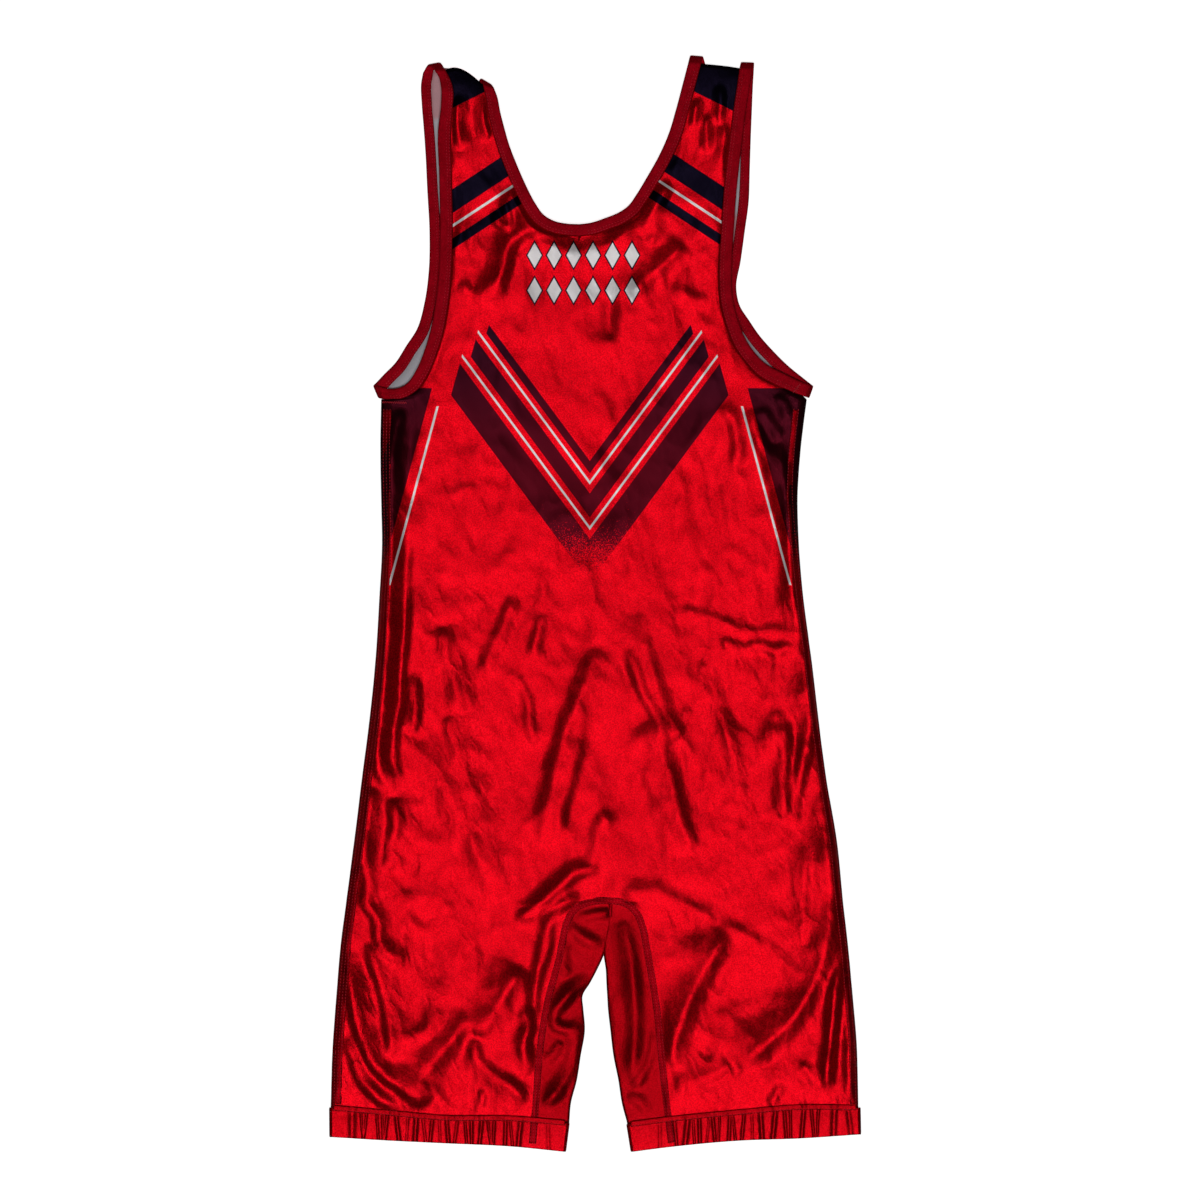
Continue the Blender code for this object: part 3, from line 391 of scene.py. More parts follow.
# %% Crease table, in millimetres: line, reach on its left, reach on its right, height
CREASES = (
    # between the neck and the left armhole
    (((-64, 322), (-58, 309), (-50, 297), (-38, 291), (-18, 289)), 4, 14, 3.2),
    (((-42, 290), (-58, 284), (-67, 275), (-70, 260), (-76, 247), (-92, 240)), 8, 15, 3.8),
    (((-71, 312), (-67, 300), (-67, 291), (-74, 292), (-77, 302)), 4, 5, 1.8),
    (((-104, 247), (-94, 238), (-80, 237), (-68, 243)), 5, 10, 2.0),
    # under the neck
    (((-52, 284), (-36, 275), (-18, 271), (2, 273), (20, 282), (30, 294)), 9, 22, 2.4),
    # between the neck and the right armhole
    (((18, 300), (34, 311), (47, 323)), 4, 9, 2.8),
    (((36, 284), (43, 299), (50, 312), (57, 324)), 9, 6, 2.6),
    (((26, 236), (42, 252), (56, 264), (68, 277)), 12, 12, 3.0),
    (((54, 304), (46, 290), (44, 276)), 8, 5, 1.8),
    (((11, 238), (11, 202)), 8, 8, -1.8),
    (((60, 244), (72, 236), (88, 232)), 6, 8, 1.4),
    # straps
    (((-106, 390), (-106, 368), (-103, 350)), 9, 4, 3.0),
    (((-84, 390), (-86, 372), (-81, 357)), 5, 7, 2.2),
    (((96, 398), (97, 382), (95, 370)), 4, 6, 2.2),
    (((86, 376), (86, 362), (86, 348)), 6, 5, 1.8),
    (((77, 388), (77, 376), (76, 366)), 6, 4, 1.8),
    (((101, 372), (98, 350), (100, 325)), 5, 6, 1.2),
    (((-104, 330), (-100, 300), (-106, 268)), 7, 7, 1.2),
    # right side below the armhole
    (((96, 152), (106, 142), (109, 125), (112, 106)), 8, 6, 2.2),
    (((118, 150), (125, 130), (134, 108), (138, 90)), 7, 6, 2.6),
    (((128, 150), (136, 137), (143, 126)), 5, 6, 2.0),
    (((139, 160), (146, 150), (150, 140)), 5, 5, 1.6),
    (((140, 124), (146, 92), (150, 60), (151, 34), (153, 2), (157, -15), (160, -29)), 5, 13, 5.0),
    # left side below the armhole
    (((-149, 149), (-154, 128), (-159, 106)), 5, 4, 2.0),
    (((-154, 150), (-157, 100), (-158, 50), (-160, 8), (-161, -20), (-163, -60), (-166, -95),
      (-168, -118), (-165, -133), (-152, -148)), 17, 4, 5.6),
    (((-110, 82), (-100, 89), (-92, 88)), 4, 4, 0.7),
    (((-134, 134), (-138, 108), (-140, 84)), 8, 5, 1.5),
    # left side below the waist
    (((-138, 14), (-141, -20), (-143, -40), (-146, -60), (-144, -78), (-149, -100), (-148, -120),
      (-144, -137), (-134, -150)), 24, 4, 1.8),
    (((-145, 60), (-146, 20), (-147, -20), (-149, -50), (-151, -75), (-155, -100), (-156, -118),
      (-152, -136)), 5, 13, -2.6),
    (((-141, -56), (-138, -68), (-138, -84), (-140, -100)), 4, 7, 2.4),
    (((-119, -18), (-114, -40), (-108, -62), (-101, -84)), 22, 12, 3.0),
    (((-113, -86), (-110, -104), (-104, -120), (-99, -134), (-91, -152)), 18, 6, 1.6),
    (((-135, -105), (-121, -135), (-106, -162), (-92, -190), (-76, -230)), 26, 14, 2.6),
    (((-62, 6), (-69, -14), (-78, -34), (-87, -56)), 9, 7, 1.8),
    (((-40, -8), (-44, -24), (-49, -42)), 6, 5, 1.5),
    (((-66, -52), (-57, -63), (-51, -76), (-50, -92), (-45, -110)), 4, 6, 1.5),
    (((-173, -142), (-175, -160), (-178, -180), (-181, -205)), 15, 4, 5.0),
    (((-157, -150), (-155, -170), (-157, -190), (-160, -206)), 22, 6, 2.4),
    (((-157, -150), (-152, -166), (-156, -184)), 5, 6, 1.2),
    # middle of the back, below the waist
    (((2, -34), (-8, -62), (-18, -88), (-27, -112), (-33, -140), (-38, -165),
      (-41, -188)), 24, 10, 3.4),
    (((-11, -104), (-17, -128), (-24, -152), (-31, -184)), 6, 20, 1.8),
    (((34, -8), (38, -34), (45, -56), (55, -84), (66, -106)), 7, 18, 1.9),
    (((25, -36), (33, -60), (41, -77), (49, -92), (57, -110)), 6, 5, 1.8),
    (((39, -90), (49, -108), (57, -129), (61, -148), (67, -168), (75, -192)), 10, 22, 3.6),
    (((73, -80), (66, -94), (60, -104)), 4, 5, 1.2),
    (((8, -160), (3, -178), (-1, -200)), 10, 8, 1.8),
    # right side, drawn in at the waist
    (((161, -30), (150, -34), (138, -36), (126, -32), (115, -36)), 6, 6, 1.9),
    (((159, -26), (140, -21), (122, -23), (104, -17), (84, -9), (62, -6)), 7, 5, 1.3),
    (((118, -38), (108, -34), (98, -28)), 5, 5, 1.4),
    (((161, -34), (164, -56), (167, -80), (163, -108), (158, -130), (155, -150),
      (152, -172)), 6, 20, 3.6),
    (((155, -84), (154, -110), (152, -135), (153, -165)), 11, 6, -2.4),
    (((145, -90), (144, -115), (143, -140), (146, -165)), 10, 22, 2.4),
    (((172, -148), (176, -170), (179, -195), (182, -225), (180, -252), (174, -278), (164, -302),
      (148, -324), (128, -342), (106, -358)), 13, 24, 4.8),
    (((163, -185), (161, -210), (160, -235), (161, -262)), 4, 14, 1.6),
    (((99, -82), (102, -104), (107, -124), (113, -152)), 9, 6, 1.4),
    (((140, -82), (136, -98), (132, -118)), 6, 9, 1.5),
    (((84, -44), (82, -58), (86, -76)), 5, 5, 1.0),
    # right leg
    (((188, -280), (184, -310), (181, -340), (176, -372)), 6, 9, 3.4),
    (((196, -290), (197, -320), (197, -350), (195, -385)), 3, 6, 2.6),
    (((190, -275), (184, -296), (182, -322), (180, -350), (177, -380)), 6, 4, 2.0),
    (((101, -252), (91, -270), (80, -290), (70, -312), (62, -335), (57, -358)), 13, 26, 4.4),
    (((94, -248), (110, -252), (126, -262), (144, -276), (160, -290)), 8, 18, 1.6),
    (((158, -355), (165, -362), (172, -375)), 6, 4, 1.5),
    (((98, -344), (104, -352), (112, -363)), 4, 4, -1.2),
    (((83, -341), (88, -351)), 4, 4, -1.2),
    (((96, -312), (112, -328), (128, -342), (135, -354)), 8, 6, 1.2),
    (((60, -372), (76, -368), (92, -362), (108, -352)), 18, 6, 1.6),
    (((144, -370), (138, -380), (134, -388)), 5, 5, -1.6),
    # crotch
    (((-58, -240), (-40, -229), (-28, -218), (-18, -209), (4, -203)), 11, 7, 3.2),
    (((-62, -241), (-42, -240), (-26, -231), (-12, -225)), 6, 8, 2.0),
    (((20, -222), (40, -221), (60, -227), (80, -237), (97, -247)), 10, 18, 1.6),
    # left leg
    (((-180, -196), (-175, -216), (-176, -231), (-168, -243), (-166, -260), (-158, -270),
      (-144, -275)), 10, 5, 3.0),
    (((-176, -262), (-168, -285), (-162, -305), (-158, -330), (-157, -352)), 24, 5, 3.2),
    (((-191, -270), (-188, -296), (-184, -320), (-177, -342), (-166, -360), (-150, -372),
      (-128, -388)), 17, 5, 4.4),
    (((-193, -335), (-186, -350), (-180, -366), (-168, -380), (-150, -391)), 7, 4, 2.6),
    (((-96, -318), (-112, -338), (-126, -354), (-134, -368), (-128, -384)), 14, 24, 4.4),
    (((-56, -280), (-66, -296), (-78, -314), (-90, -334)), 15, 22, 4.0),
    (((-93, -334), (-90, -352), (-78, -364), (-64, -372), (-52, -384)), 7, 14, 3.0),
    (((-48, -312), (-52, -328), (-56, -344), (-52, -358)), 6, 12, 2.6),
    (((-45, -327), (-53, -333), (-52, -343), (-48, -355), (-58, -362)), 5, 8, 2.4),
    (((-34, -234), (-38, -262), (-45, -290), (-46, -322)), 8, 8, -3.4),
    (((-86, -374), (-88, -385), (-90, -397)), 4, 4, 2.0),
    (((-158, -204), (-150, -214), (-143, -223)), 5, 5, -0.7),
    (((-142, -232), (-130, -244), (-119, -238)), 5, 5, -0.6),
    (((-150, -338), (-132, -331), (-118, -312)), 9, 6, 1.5),
)
print("creases:", len(CREASES))

# %% [markdown]
# Between the named creases the satin is never quite flat. A shallow uneven swell, about a millimetre
# high at most, breaks the light into the small clouds that show a thin knit has been worn and washed.

# %% Crease and swell heights
CREST_ROUND = 1.4
SWELLS = ((46.0, 2.8, 0.0), (18.0, 1.3, 7.0), (9.0, 0.45, 19.0))    # size, height, seed
LINE_POINTS = 24


def beside_line(path, x, y):
    """Distance of each point from a line, left above zero, and the share of the line passed."""
    best = np.full(x.shape, 1e9)
    offset = np.zeros(x.shape)
    share = np.zeros(x.shape)
    for i in range(len(path) - 1):
        ax, ay = path[i]
        ux, uy = path[i + 1] - path[i]
        length = math.hypot(ux, uy) + 1e-9
        t = np.clip(((x - ax) * ux + (y - ay) * uy) / length ** 2, 0.0, 1.0)
        dx, dy = x - ax - t * ux, y - ay - t * uy
        distance = np.hypot(dx, dy)
        closer = distance < best
        best = np.where(closer, distance, best)
        offset = np.where(closer, distance * np.sign(ux * dy - uy * dx), offset)
        share = np.where(closer, (i + t) / (len(path) - 1), share)
    return offset, share


def crease_heights(x, y, creases):
    """What a table of creases adds to the cloth at each point."""
    total = np.zeros_like(x)
    for line, left, right, crest in creases:
        path = flat_line(line, LINE_POINTS)
        widest = max(left, right) + 2.0
        near = (
            (x > path[:, 0].min() - widest) & (x < path[:, 0].max() + widest)
            & (y > path[:, 1].min() - widest) & (y < path[:, 1].max() + widest)
        )
        offset, share = beside_line(path, x[near], y[near])
        reach = np.where(offset > 0, left, right)
        away = np.clip((np.sqrt(offset ** 2 + CREST_ROUND ** 2) - CREST_ROUND) / reach, 0, 1)
        power = 1.25 + 0.35 * np.clip((reach - 6) / 6, 0, 1)
        run = np.hypot(*np.diff(path, axis=0).T).sum()
        uneven = 0.94 + 0.14 * np.sin(share * run / 9.0 + line[0][0])
        taper = np.clip(share / 0.2, 0, 1) * np.clip((1 - share) / 0.2, 0, 1)
        total[near] += crest * uneven * (1 - away) ** power * (taper * (2 - taper))
    return total


def swell(x, y):
    """Three sizes of ridged noise, each stretched along the garment and leaning a little."""
    total = np.zeros(x.size)
    for i, (px, py) in enumerate(zip(x.ravel(), y.ravel())):
        for size, height, seed in SWELLS:
            lean = px + 0.3 * py
            spot = Vector((lean / size, (py - 0.3 * px) / (size * 1.6), seed))
            total[i] += height * (0.25 - abs(mathutils_noise.noise(spot)))
    return total.reshape(x.shape)


print("swell at the middle:", round(float(swell(np.zeros(1), np.zeros(1))[0]), 2), "mm")

# %% [markdown]
# ## Finishes
# The knit is a bright satin, printed before it is cut, so its print is a pattern on the cloth's own
# coordinates. Shader groups hold what several finishes share: the fine grain of the knit, and the print.

# %% Node helpers
def add_node(tree, kind, inputs=None, **settings):
    """A node with its settings made and its inputs filled."""
    node = tree.nodes.new(kind)
    for label, value in settings.items():
        setattr(node, label, value)
    fill(node, inputs or {})
    return node


def new_group(name, kind, inputs, outputs):
    """A node group. A socket is given as its start value, or as the name of another kind."""
    group = bpy.data.node_groups.new(name, kind)
    for in_out, sockets in (("INPUT", inputs), ("OUTPUT", outputs)):
        for label, value in sockets.items():
            word = value if isinstance(value, str) else "Float"
            socket = group.interface.new_socket(
                label, in_out=in_out, socket_type="NodeSocket" + word)
            if word == "Float":
                socket.default_value = value
    return group, add_node(group, "NodeGroupInput").outputs, add_node(group, "NodeGroupOutput")


def maths(kind, *values):
    """A Math node on these values. At least one of them is a Number."""
    tree = next(value.socket.id_data for value in values if isinstance(value, Number))
    node = add_node(tree, "ShaderNodeMath", dict(enumerate(values)), operation=kind)
    return Number(node.outputs[0])


class Number:
    """A number in a node tree. Arithmetic on it adds Math nodes to that tree."""

    def __init__(self, socket):
        self.socket = socket

    def __add__(self, other):
        return maths("ADD", self, other)

    def __sub__(self, other):
        return maths("SUBTRACT", self, other)

    def __rsub__(self, other):
        return maths("SUBTRACT", other, self)

    def __mul__(self, other):
        return maths("MULTIPLY", self, other)

    def __rtruediv__(self, other):
        return maths("DIVIDE", other, self)


def least(*values):
    return reduce(lambda a, b: maths("MINIMUM", a, b), values)


def most(*values):
    return reduce(lambda a, b: maths("MAXIMUM", a, b), values)


def step(value, low, high):
    """0 below low and 1 above high, with a soft change between them."""
    inputs = {"Value": value, "From Min": low, "From Max": high}
    node = add_node(value.socket.id_data, "ShaderNodeMapRange", inputs,
                    interpolation_type="SMOOTHSTEP")
    return Number(node.outputs["Result"])


def mixed(share, a, b):
    """A colour this share of the way from a to b. Each is three numbers or another colour."""
    a, b = ((*c, 1.0) if isinstance(c, tuple) else c for c in (a, b))
    # A Mix node has a socket for each kind of value: 6 and 7 are the colours, and so is output 2.
    node = add_node(share.socket.id_data, "ShaderNodeMix", {0: share, 6: a, 7: b}, data_type="RGBA")
    return node.outputs[2]


def place_nodes(tree):
    """The piece's own coordinates in millimetres, as a vector and as x and y."""
    place = add_node(tree, "ShaderNodeTexCoord").outputs["Object"]
    scale = add_node(tree, "ShaderNodeVectorMath", {0: place, "Scale": 1000.0}, operation="SCALE")
    split = add_node(tree, "ShaderNodeSeparateXYZ", {0: scale.outputs[0]})
    return scale.outputs[0], Number(split.outputs["X"]), Number(split.outputs["Y"])


def noise(vector, size, detail, roughness=0.5):
    """A noise whose blotches are about this many millimetres across."""
    inputs = {"Vector": vector, "Scale": 1.0 / size, "Detail": detail, "Roughness": roughness}
    return Number(add_node(vector.id_data, "ShaderNodeTexNoise", inputs).outputs["Fac"])


print("node helpers ready")

# %% Grain of the knit
COURSE, WALE = 0.55, 0.7        # mm between rows of loops, along and across


def make_grain():
    """Speckle of the satin face, cloudy wear, height of its loops, and fine wrinkles."""
    group, given, out = new_group(
        "knit_grain", "ShaderNodeTree", {"Speckle Size": 1.1, "Cloud Size": 9.0},
        dict.fromkeys(("Speckle", "Cloud", "Height", "Wrinkle"), 0.0))
    place, x, y = place_nodes(group)
    leaning = add_node(group, "ShaderNodeCombineXYZ",
                       {"X": x + y * 0.4, "Y": (y - x * 0.4) * 0.45}).outputs[0]
    ripple = maths("ABSOLUTE", noise(leaning, 10.0, 1.5) - 0.5)
    beside = step(maths("ABSOLUTE", x), 35.0, 105.0) * step(y * -1.0, -60.0, 30.0)
    speckle = noise(place, Number(given["Speckle Size"]), 2.0, 0.6)
    courses = maths("SINE", y * (2 * math.pi / COURSE))
    wales = maths("SINE", x * (2 * math.pi / WALE))
    fill(out, {
        "Speckle": speckle,
        "Cloud": noise(place, Number(given["Cloud Size"]), 3.0, 0.6),
        "Height": courses * wales * 0.25 + speckle,
        "Wrinkle": ripple * (beside * 0.6 + 0.6) * -2.0,
    })
    return group


knit_grain = make_grain()
print("grain nodes:", len(knit_grain.nodes))

# %% [markdown]
# ### The print
# The cloth is red with dark figures and fine pale piping: chevrons down the back, a long wedge down each
# side, slanted bars on the straps, and two rows of lozenges below the neck. Each figure is the overlap of
# a few straight edges, and an edge is one sum of x and y. The dark parts turn from black at the shoulders
# to maroon, and break up into grain before the hips. A picture could be wrapped on the cloth, but an edge
# that is worked out stays crisp however near the camera comes.

# %% Print figures
STEEP, BAR, SLIM_BAR = 1.35, -0.5, -0.66    # slopes of the chevrons, widest bar and slim bars


def make_print():
    """How dark, how pale, and which dark. A figure is where its number is above zero."""
    group, _, out = new_group(
        "singlet_print", "ShaderNodeTree", {}, dict.fromkeys(("Dark", "Pale", "Maroon"), 0.0))
    place, x, y = place_nodes(group)
    side = maths("ABSOLUTE", x + 4.0)

    def band(height, slope, thick, within):
        """A slanted band, this high on the middle line, kept within another figure."""
        up = y - (side * slope + height)
        return least(up, thick - up, within)

    tip = y * -0.28 + 152.0 - side
    shoulder = side - 30.0
    wedge = 166.0 - y * 0.27
    shape = most(
        band(16.0, STEEP, 34.0, tip),
        band(66.0, STEEP, 19.0, tip - 7.0),
        band(100.0, STEEP, 10.0, tip - 14.0),
        least(side - wedge, 166.0 - y),
        band(434.0, BAR, 60.0, side - 60.0),
        band(370.0, SLIM_BAR, 19.0, shoulder),
        band(342.0, SLIM_BAR, 9.0, shoulder),
    )
    piping = most(
        band(56.4, STEEP, 3.2, tip),
        band(91.4, STEEP, 3.2, tip - 7.0),
        least(side - (wedge - 9.0), wedge - 6.8 - side, 152.0 - y, y - 14.0),
        band(359.0, SLIM_BAR, 2.8, shoulder),
    )
    row_y = maths("PINGPONG", y - 241.0, 13.5)
    row_x = maths("PINGPONG", x + 46.5, 7.5)
    lozenge = 1.0 - (row_y * (1 / 12.5) + row_x * (1 / 7.0))
    lozenge = least(lozenge * 8.0, x + 54.0, 36.0 - x, y - 227.5, 281.5 - y)
    fade = step(y, -6.0, 84.0) + (noise(place, 1.0, 1.0) - 0.5) * 1.5
    fade = most(step(fade, 0.3, 0.7), step(y, 84.0, 96.0))
    fill(out, {
        "Dark": most(step(shape, 0.0, 0.5), step(lozenge, 0.2, 0.6)) * fade,
        "Pale": most(step(piping, 0.0, 0.5), step(lozenge, 1.6, 2.0)),
        "Maroon": 1.0 - step(y, 90.0, 260.0),
    })
    return group


singlet_print = make_print()
print("print nodes:", len(singlet_print.nodes))

# %% Satin knit, printed
SATIN_METALLIC = 0.97
SATIN_ROUGHNESS = 0.36
SATIN_LOW = (0.58, 0.0007, 0.0045)
SATIN_HIGH = (1.0, 0.0042, 0.0165)
BLACK_INK = (0.006, 0.004, 0.012)
MAROON_INK = (0.085, 0.003, 0.009)
PALE_INK = (1.0, 0.95, 0.96)
DULL_GLANCE = 0.05              # cloth has almost no clear coat


def bump(height, strength, distance, **over):
    """Relief this many millimetres deep, over the relief named Normal if there is one."""
    inputs = {"Height": height, "Strength": strength, "Distance": distance * MM, **over}
    return add_node(height.id_data, "ShaderNodeBump", inputs).outputs["Normal"]


def use_group(tree, group, inputs=None):
    """The outputs of a shader group that is used in this tree."""
    return add_node(tree, "ShaderNodeGroup", inputs, node_tree=group).outputs


def satin(name, printed=False, painted_shade_factor=1.0):
    """The bright face of the knit, with or without print. A shade factor below 1 darkens its colour, which
    makes a copy with painted shade.
    """
    material, shader = new_material(name)
    tree = material.node_tree
    grain = use_group(tree, knit_grain)
    speckle = step(Number(grain["Speckle"]), 0.38, 0.62)
    cloud = step(Number(grain["Cloud"]), 0.25, 0.75)
    low, high = (tuple(painted_shade_factor * c for c in colour) for colour in (SATIN_LOW, SATIN_HIGH))
    colour = mixed(speckle * 0.75 + cloud * 0.25, low, high)
    metallic = SATIN_METALLIC
    if printed:
        figures = use_group(tree, singlet_print)
        dark, pale, maroon = (Number(figures[label]) for label in ("Dark", "Pale", "Maroon"))
        colour = mixed(dark, colour, mixed(maroon, BLACK_INK, MAROON_INK))
        colour = mixed(pale, colour, PALE_INK)
        metallic = (pale * -0.6 + 1.0) * SATIN_METALLIC
    fill(shader, {
        "Base Color": colour,
        "Metallic": metallic,
        "Roughness": speckle * 0.1 + (SATIN_ROUGHNESS - 0.05),
        "Specular IOR Level": DULL_GLANCE,
        "Normal": bump(grain["Wrinkle"], 1.0, 0.42, Normal=bump(grain["Height"], 0.35, 0.25)),
    })
    return material


printed_satin = satin("printed_satin", True)
# Darker copies of the same satin, with painted shade: the inner-leg panels, the hem joins and the hems.
inner_leg_satin_shaded = satin("inner_leg_satin_painted_shade", painted_shade_factor=0.52)
join_shaded_satin = satin("hem_join_painted_shade", painted_shade_factor=0.6)
shaded_hem_satin = satin("shaded_hem_satin", painted_shade_factor=0.85)
print("satins:", ", ".join(m.name for m in (printed_satin, inner_leg_satin_shaded, join_shaded_satin, shaded_hem_satin)))

# %% [markdown]
# ### Dull cloth and thread
# Bindings, seams and thread are a plainer yarn with a fine rib, and the inside of the knit has hardly any
# shine. A scanned picture of cloth could be wrapped on them, but it would blur close up and show its seams.
# A small noise, used for both the tone and the relief, stays sharp at any distance and needs no picture.

# %% Dull cloth and thread
RIB = 0.9                       # size of the fine rib's grain, mm
RIB_DEPTH = 0.2


def matte_cloth(name, colour, shade, roughness, metallic=0.0):
    """Dull cloth with a fine rib, for the bindings, seams, thread and inside face."""
    material, shader = new_material(name)
    grain = use_group(material.node_tree, knit_grain, {"Speckle Size": RIB})
    tone = Number(grain["Speckle"]) * 0.6 + Number(grain["Cloud"]) * 0.4
    fill(shader, {
        "Base Color": mixed(step(tone, 0.35, 0.65), shade, colour),
        "Roughness": roughness,
        "Metallic": metallic,
        "Specular IOR Level": DULL_GLANCE,
        "Normal": bump(grain["Height"], 0.5, RIB_DEPTH),
    })
    return material


def reverse_side():
    """The dull inside: the print shows through as pink behind red and lilac behind black."""
    material = matte_cloth("inside_face", (1.0, 1.0, 1.0), (0.94, 0.94, 0.94), 0.6)
    tree = material.node_tree
    shader = tree.nodes["Principled BSDF"]
    plain = shader.inputs["Base Color"].links[0].from_socket
    _, x, y = place_nodes(tree)
    right = step(x, -1.0, 1.0)
    patch = step(y, 252.0, 258.0) * (1.0 - step(y, 297.0, 303.0))
    pink = most((1.0 - right) * step(y, 370.0, 376.0), right * patch)
    tint = mixed(pink, (0.95, 0.93, 1.0), (1.0, 0.56, 0.6))
    both = add_node(tree, "ShaderNodeVectorMath", {0: plain, 1: tint}, operation="MULTIPLY")
    fill(shader, {"Base Color": both.outputs[0]})
    return material


inside_face = reverse_side()
binding_cloth = matte_cloth("binding_cloth", (0.48, 0.001, 0.012), (0.3, 0.0, 0.006), 0.5, 0.7)
seam_cloth = matte_cloth("seam_cloth", (0.56, 0.0, 0.008), (0.26, 0.0, 0.003), 0.42, 0.9)
thread = matte_cloth("thread", (0.9, 0.06, 0.09), (0.7, 0.02, 0.04), 0.5, 0.5)
print("finishes:", len(bpy.data.materials))

# %% [markdown]
# ## Back panel
# The back is the layer on top. A cloth simulation could drape it, but its folds would fall where they
# like, and these have to fall where the tables say. So its grid is 2 to 3 mm fine, and a crease of a few
# millimetres is real geometry. A height rule lifts the cloth from its seams to a level loft, creases are
# added where it is free, and Solidify gives the wall its thickness.

# %% Making meshes
WELD = 0.02                     # mm, far less than the grid


def mesh_object(name, points, faces, materials):
    """A smooth mesh from points in millimetres."""
    mesh = bpy.data.meshes.new(name)
    mesh.from_pydata((points * MM).tolist(), [], faces.tolist())
    for material in materials:
        mesh.materials.append(material)
    mesh.polygons.foreach_set("use_smooth", [True] * len(mesh.polygons))
    return add_object(name, mesh)


def grid_faces(rows, columns):
    """Quads of a grid of rows by columns points."""
    index = np.arange(rows * columns).reshape(rows, columns)
    quads = np.stack([index[:-1, :-1], index[:-1, 1:], index[1:, 1:], index[1:, :-1]], -1)
    return quads.reshape(-1, 4)


def looks_up(points, faces):
    """Whether most of a sheet's faces look up."""
    a, b, c = (points[faces[:, k], :2] for k in range(3))
    (bx, by), (cx, cy) = (b - a).T, (c - a).T
    return (bx * cy - by * cx).sum() > 0


def facing_up(points, faces):
    """A sheet's faces, turned so that most of them look up."""
    return faces if looks_up(points, faces) else faces[:, ::-1]


def edit_mesh(piece, change):
    """Runs a change on a piece's mesh."""
    shape = bmesh.new()
    shape.from_mesh(piece.data)
    change(shape)
    shape.to_mesh(piece.data)
    shape.free()


def tree_of(piece):
    """A search tree of a piece's faces, to drop rays on."""
    points = [v.co.copy() for v in piece.data.vertices]
    return BVHTree.FromPolygons(points, [p.vertices[:] for p in piece.data.polygons])


def wall(piece, thickness=CLOTH, offset=0.0, inner_slot=1):
    """Gives a sheet its thickness, with another finish on the inside face."""
    modifier = piece.modifiers.new("wall", "SOLIDIFY")
    modifier.thickness = thickness * MM
    modifier.offset = offset
    modifier.material_offset = inner_slot


def panel(name, halves, face_down=False):
    """Joins the two halves of a panel along its middle line."""
    points, faces = [], []
    for half in halves:
        flat_points = half.reshape(-1, 3)
        quads = facing_up(flat_points, grid_faces(*half.shape[:2]))
        start = sum(len(p) for p in points)
        points.append(flat_points)
        faces.append((quads[:, ::-1] if face_down else quads) + start)
    points, faces = np.concatenate(points), np.concatenate(faces)
    piece = mesh_object(name, points, faces, [printed_satin, inside_face])
    edit_mesh(piece, lambda shape: bmesh.ops.remove_doubles(shape, verts=shape.verts, dist=WELD * MM))
    return piece


print("mesh helpers ready")

# %% Height of the back at rest
BACK_ROWS = {"leg": 68, "body": 150, "chest": 36, "strap": 62}
BACK_COLUMNS = 72
INNER_END_ROWS = 8              # rows below the neck's lowest point that already bend to it


def back_height(x, y, from_outer, from_inner, from_top, outer, inner, rows, hem):
    """The middle of the upper wall before its creases, and how free each point is to crease."""
    body_end = rows["leg"] + rows["body"]
    chest_end = body_end + rows["chest"]
    station = np.arange(len(x))[:, None]
    above_chest = station > chest_end
    outer_ease = eased(from_outer, np.where(station <= body_end, SIDE_ROUND, EDGE_ROUND))
    rise = LOFT_MID - (LOFT_MID - outer[:, 2:3]) * (1 - outer_ease)
    free = eased(from_outer, 4.0)
    leg_ease = eased(from_inner, SEAM_ROUND)
    neck_ease = eased(from_inner, EDGE_ROUND)
    inner_ease = np.where(station <= rows["leg"], leg_ease, np.where(above_chest, neck_ease, 1.0))
    crotch = np.hypot(x - CROTCH[0], y - CROTCH[1])
    inner_ease = np.minimum(inner_ease, eased(crotch, SEAM_ROUND))
    low = np.hypot(x - inner[chest_end, 0], y - inner[chest_end, 1])
    low_ease = np.maximum(eased(low, EDGE_ROUND), neck_ease * above_chest)
    inner_ease = np.minimum(inner_ease, low_ease)
    near_neck = station > chest_end - INNER_END_ROWS
    inner_mid = np.where(near_neck, inner[chest_end, 2], CROTCH_MID)
    inner_mid = np.where(above_chest, inner[:, 2:3], inner_mid)
    rise = rise - (LOFT_MID - inner_mid) * (1 - inner_ease)
    free = free * np.minimum(1.0, inner_ease * 1.6)
    near_hem = eased(y - hem_top(hem, x), HEM_ROUND)
    rise = np.minimum(rise, HEM_MID + (LOFT_MID - HEM_MID) * near_hem)
    near_top = eased(from_top, TOP_ROUND)
    rise = np.minimum(rise, TOP_MID + (LOFT_MID - TOP_MID) * near_top)
    return rise, free * near_top, near_hem


print("back grid:", sum(BACK_ROWS.values()) + 1, "rows of", BACK_COLUMNS + 1)

# %% Back panel
GATHER_RISE = 7.0               # how fast the gathers fade above a hem, mm
GATHER_SHARE = 0.7              # of the hem's own pleats
LEFT = (1, SEAM_LEFT, HEM_LEFT, SHOULDER_BOW_LEFT)      # the column of SIDE, then its tables
RIGHT = (2, SEAM_RIGHT, HEM_RIGHT, SHOULDER_BOW_RIGHT)


def gathers(x, y, hem, table):
    """Small pleats that the elastic draws in the cloth just above a hem."""
    over = y - hem_top(hem, x)
    total = np.zeros_like(x)
    for middle, depth, half in table:
        total -= depth * np.exp(-(((x - middle) / (half * (1.2 + over / 10))) ** 2))
    return total * np.exp(-np.clip(over, 0, None) / GATHER_RISE)


def half_plan_of(side, arm_table, neck_table, rows, columns, low=False):
    """The plan of half a panel: its stations, then what half_plan gives."""
    column, seam, hem, bow = side
    arm = along(arm_table, rows["chest"] + rows["strap"] + 1)
    neck = along(neck_table, rows["strap"] + 1)
    outer, inner = half_paths(column, seam, arm[::-1] if low else arm, neck, rows)
    return outer, inner, half_plan(outer, inner, columns, hem, bow)


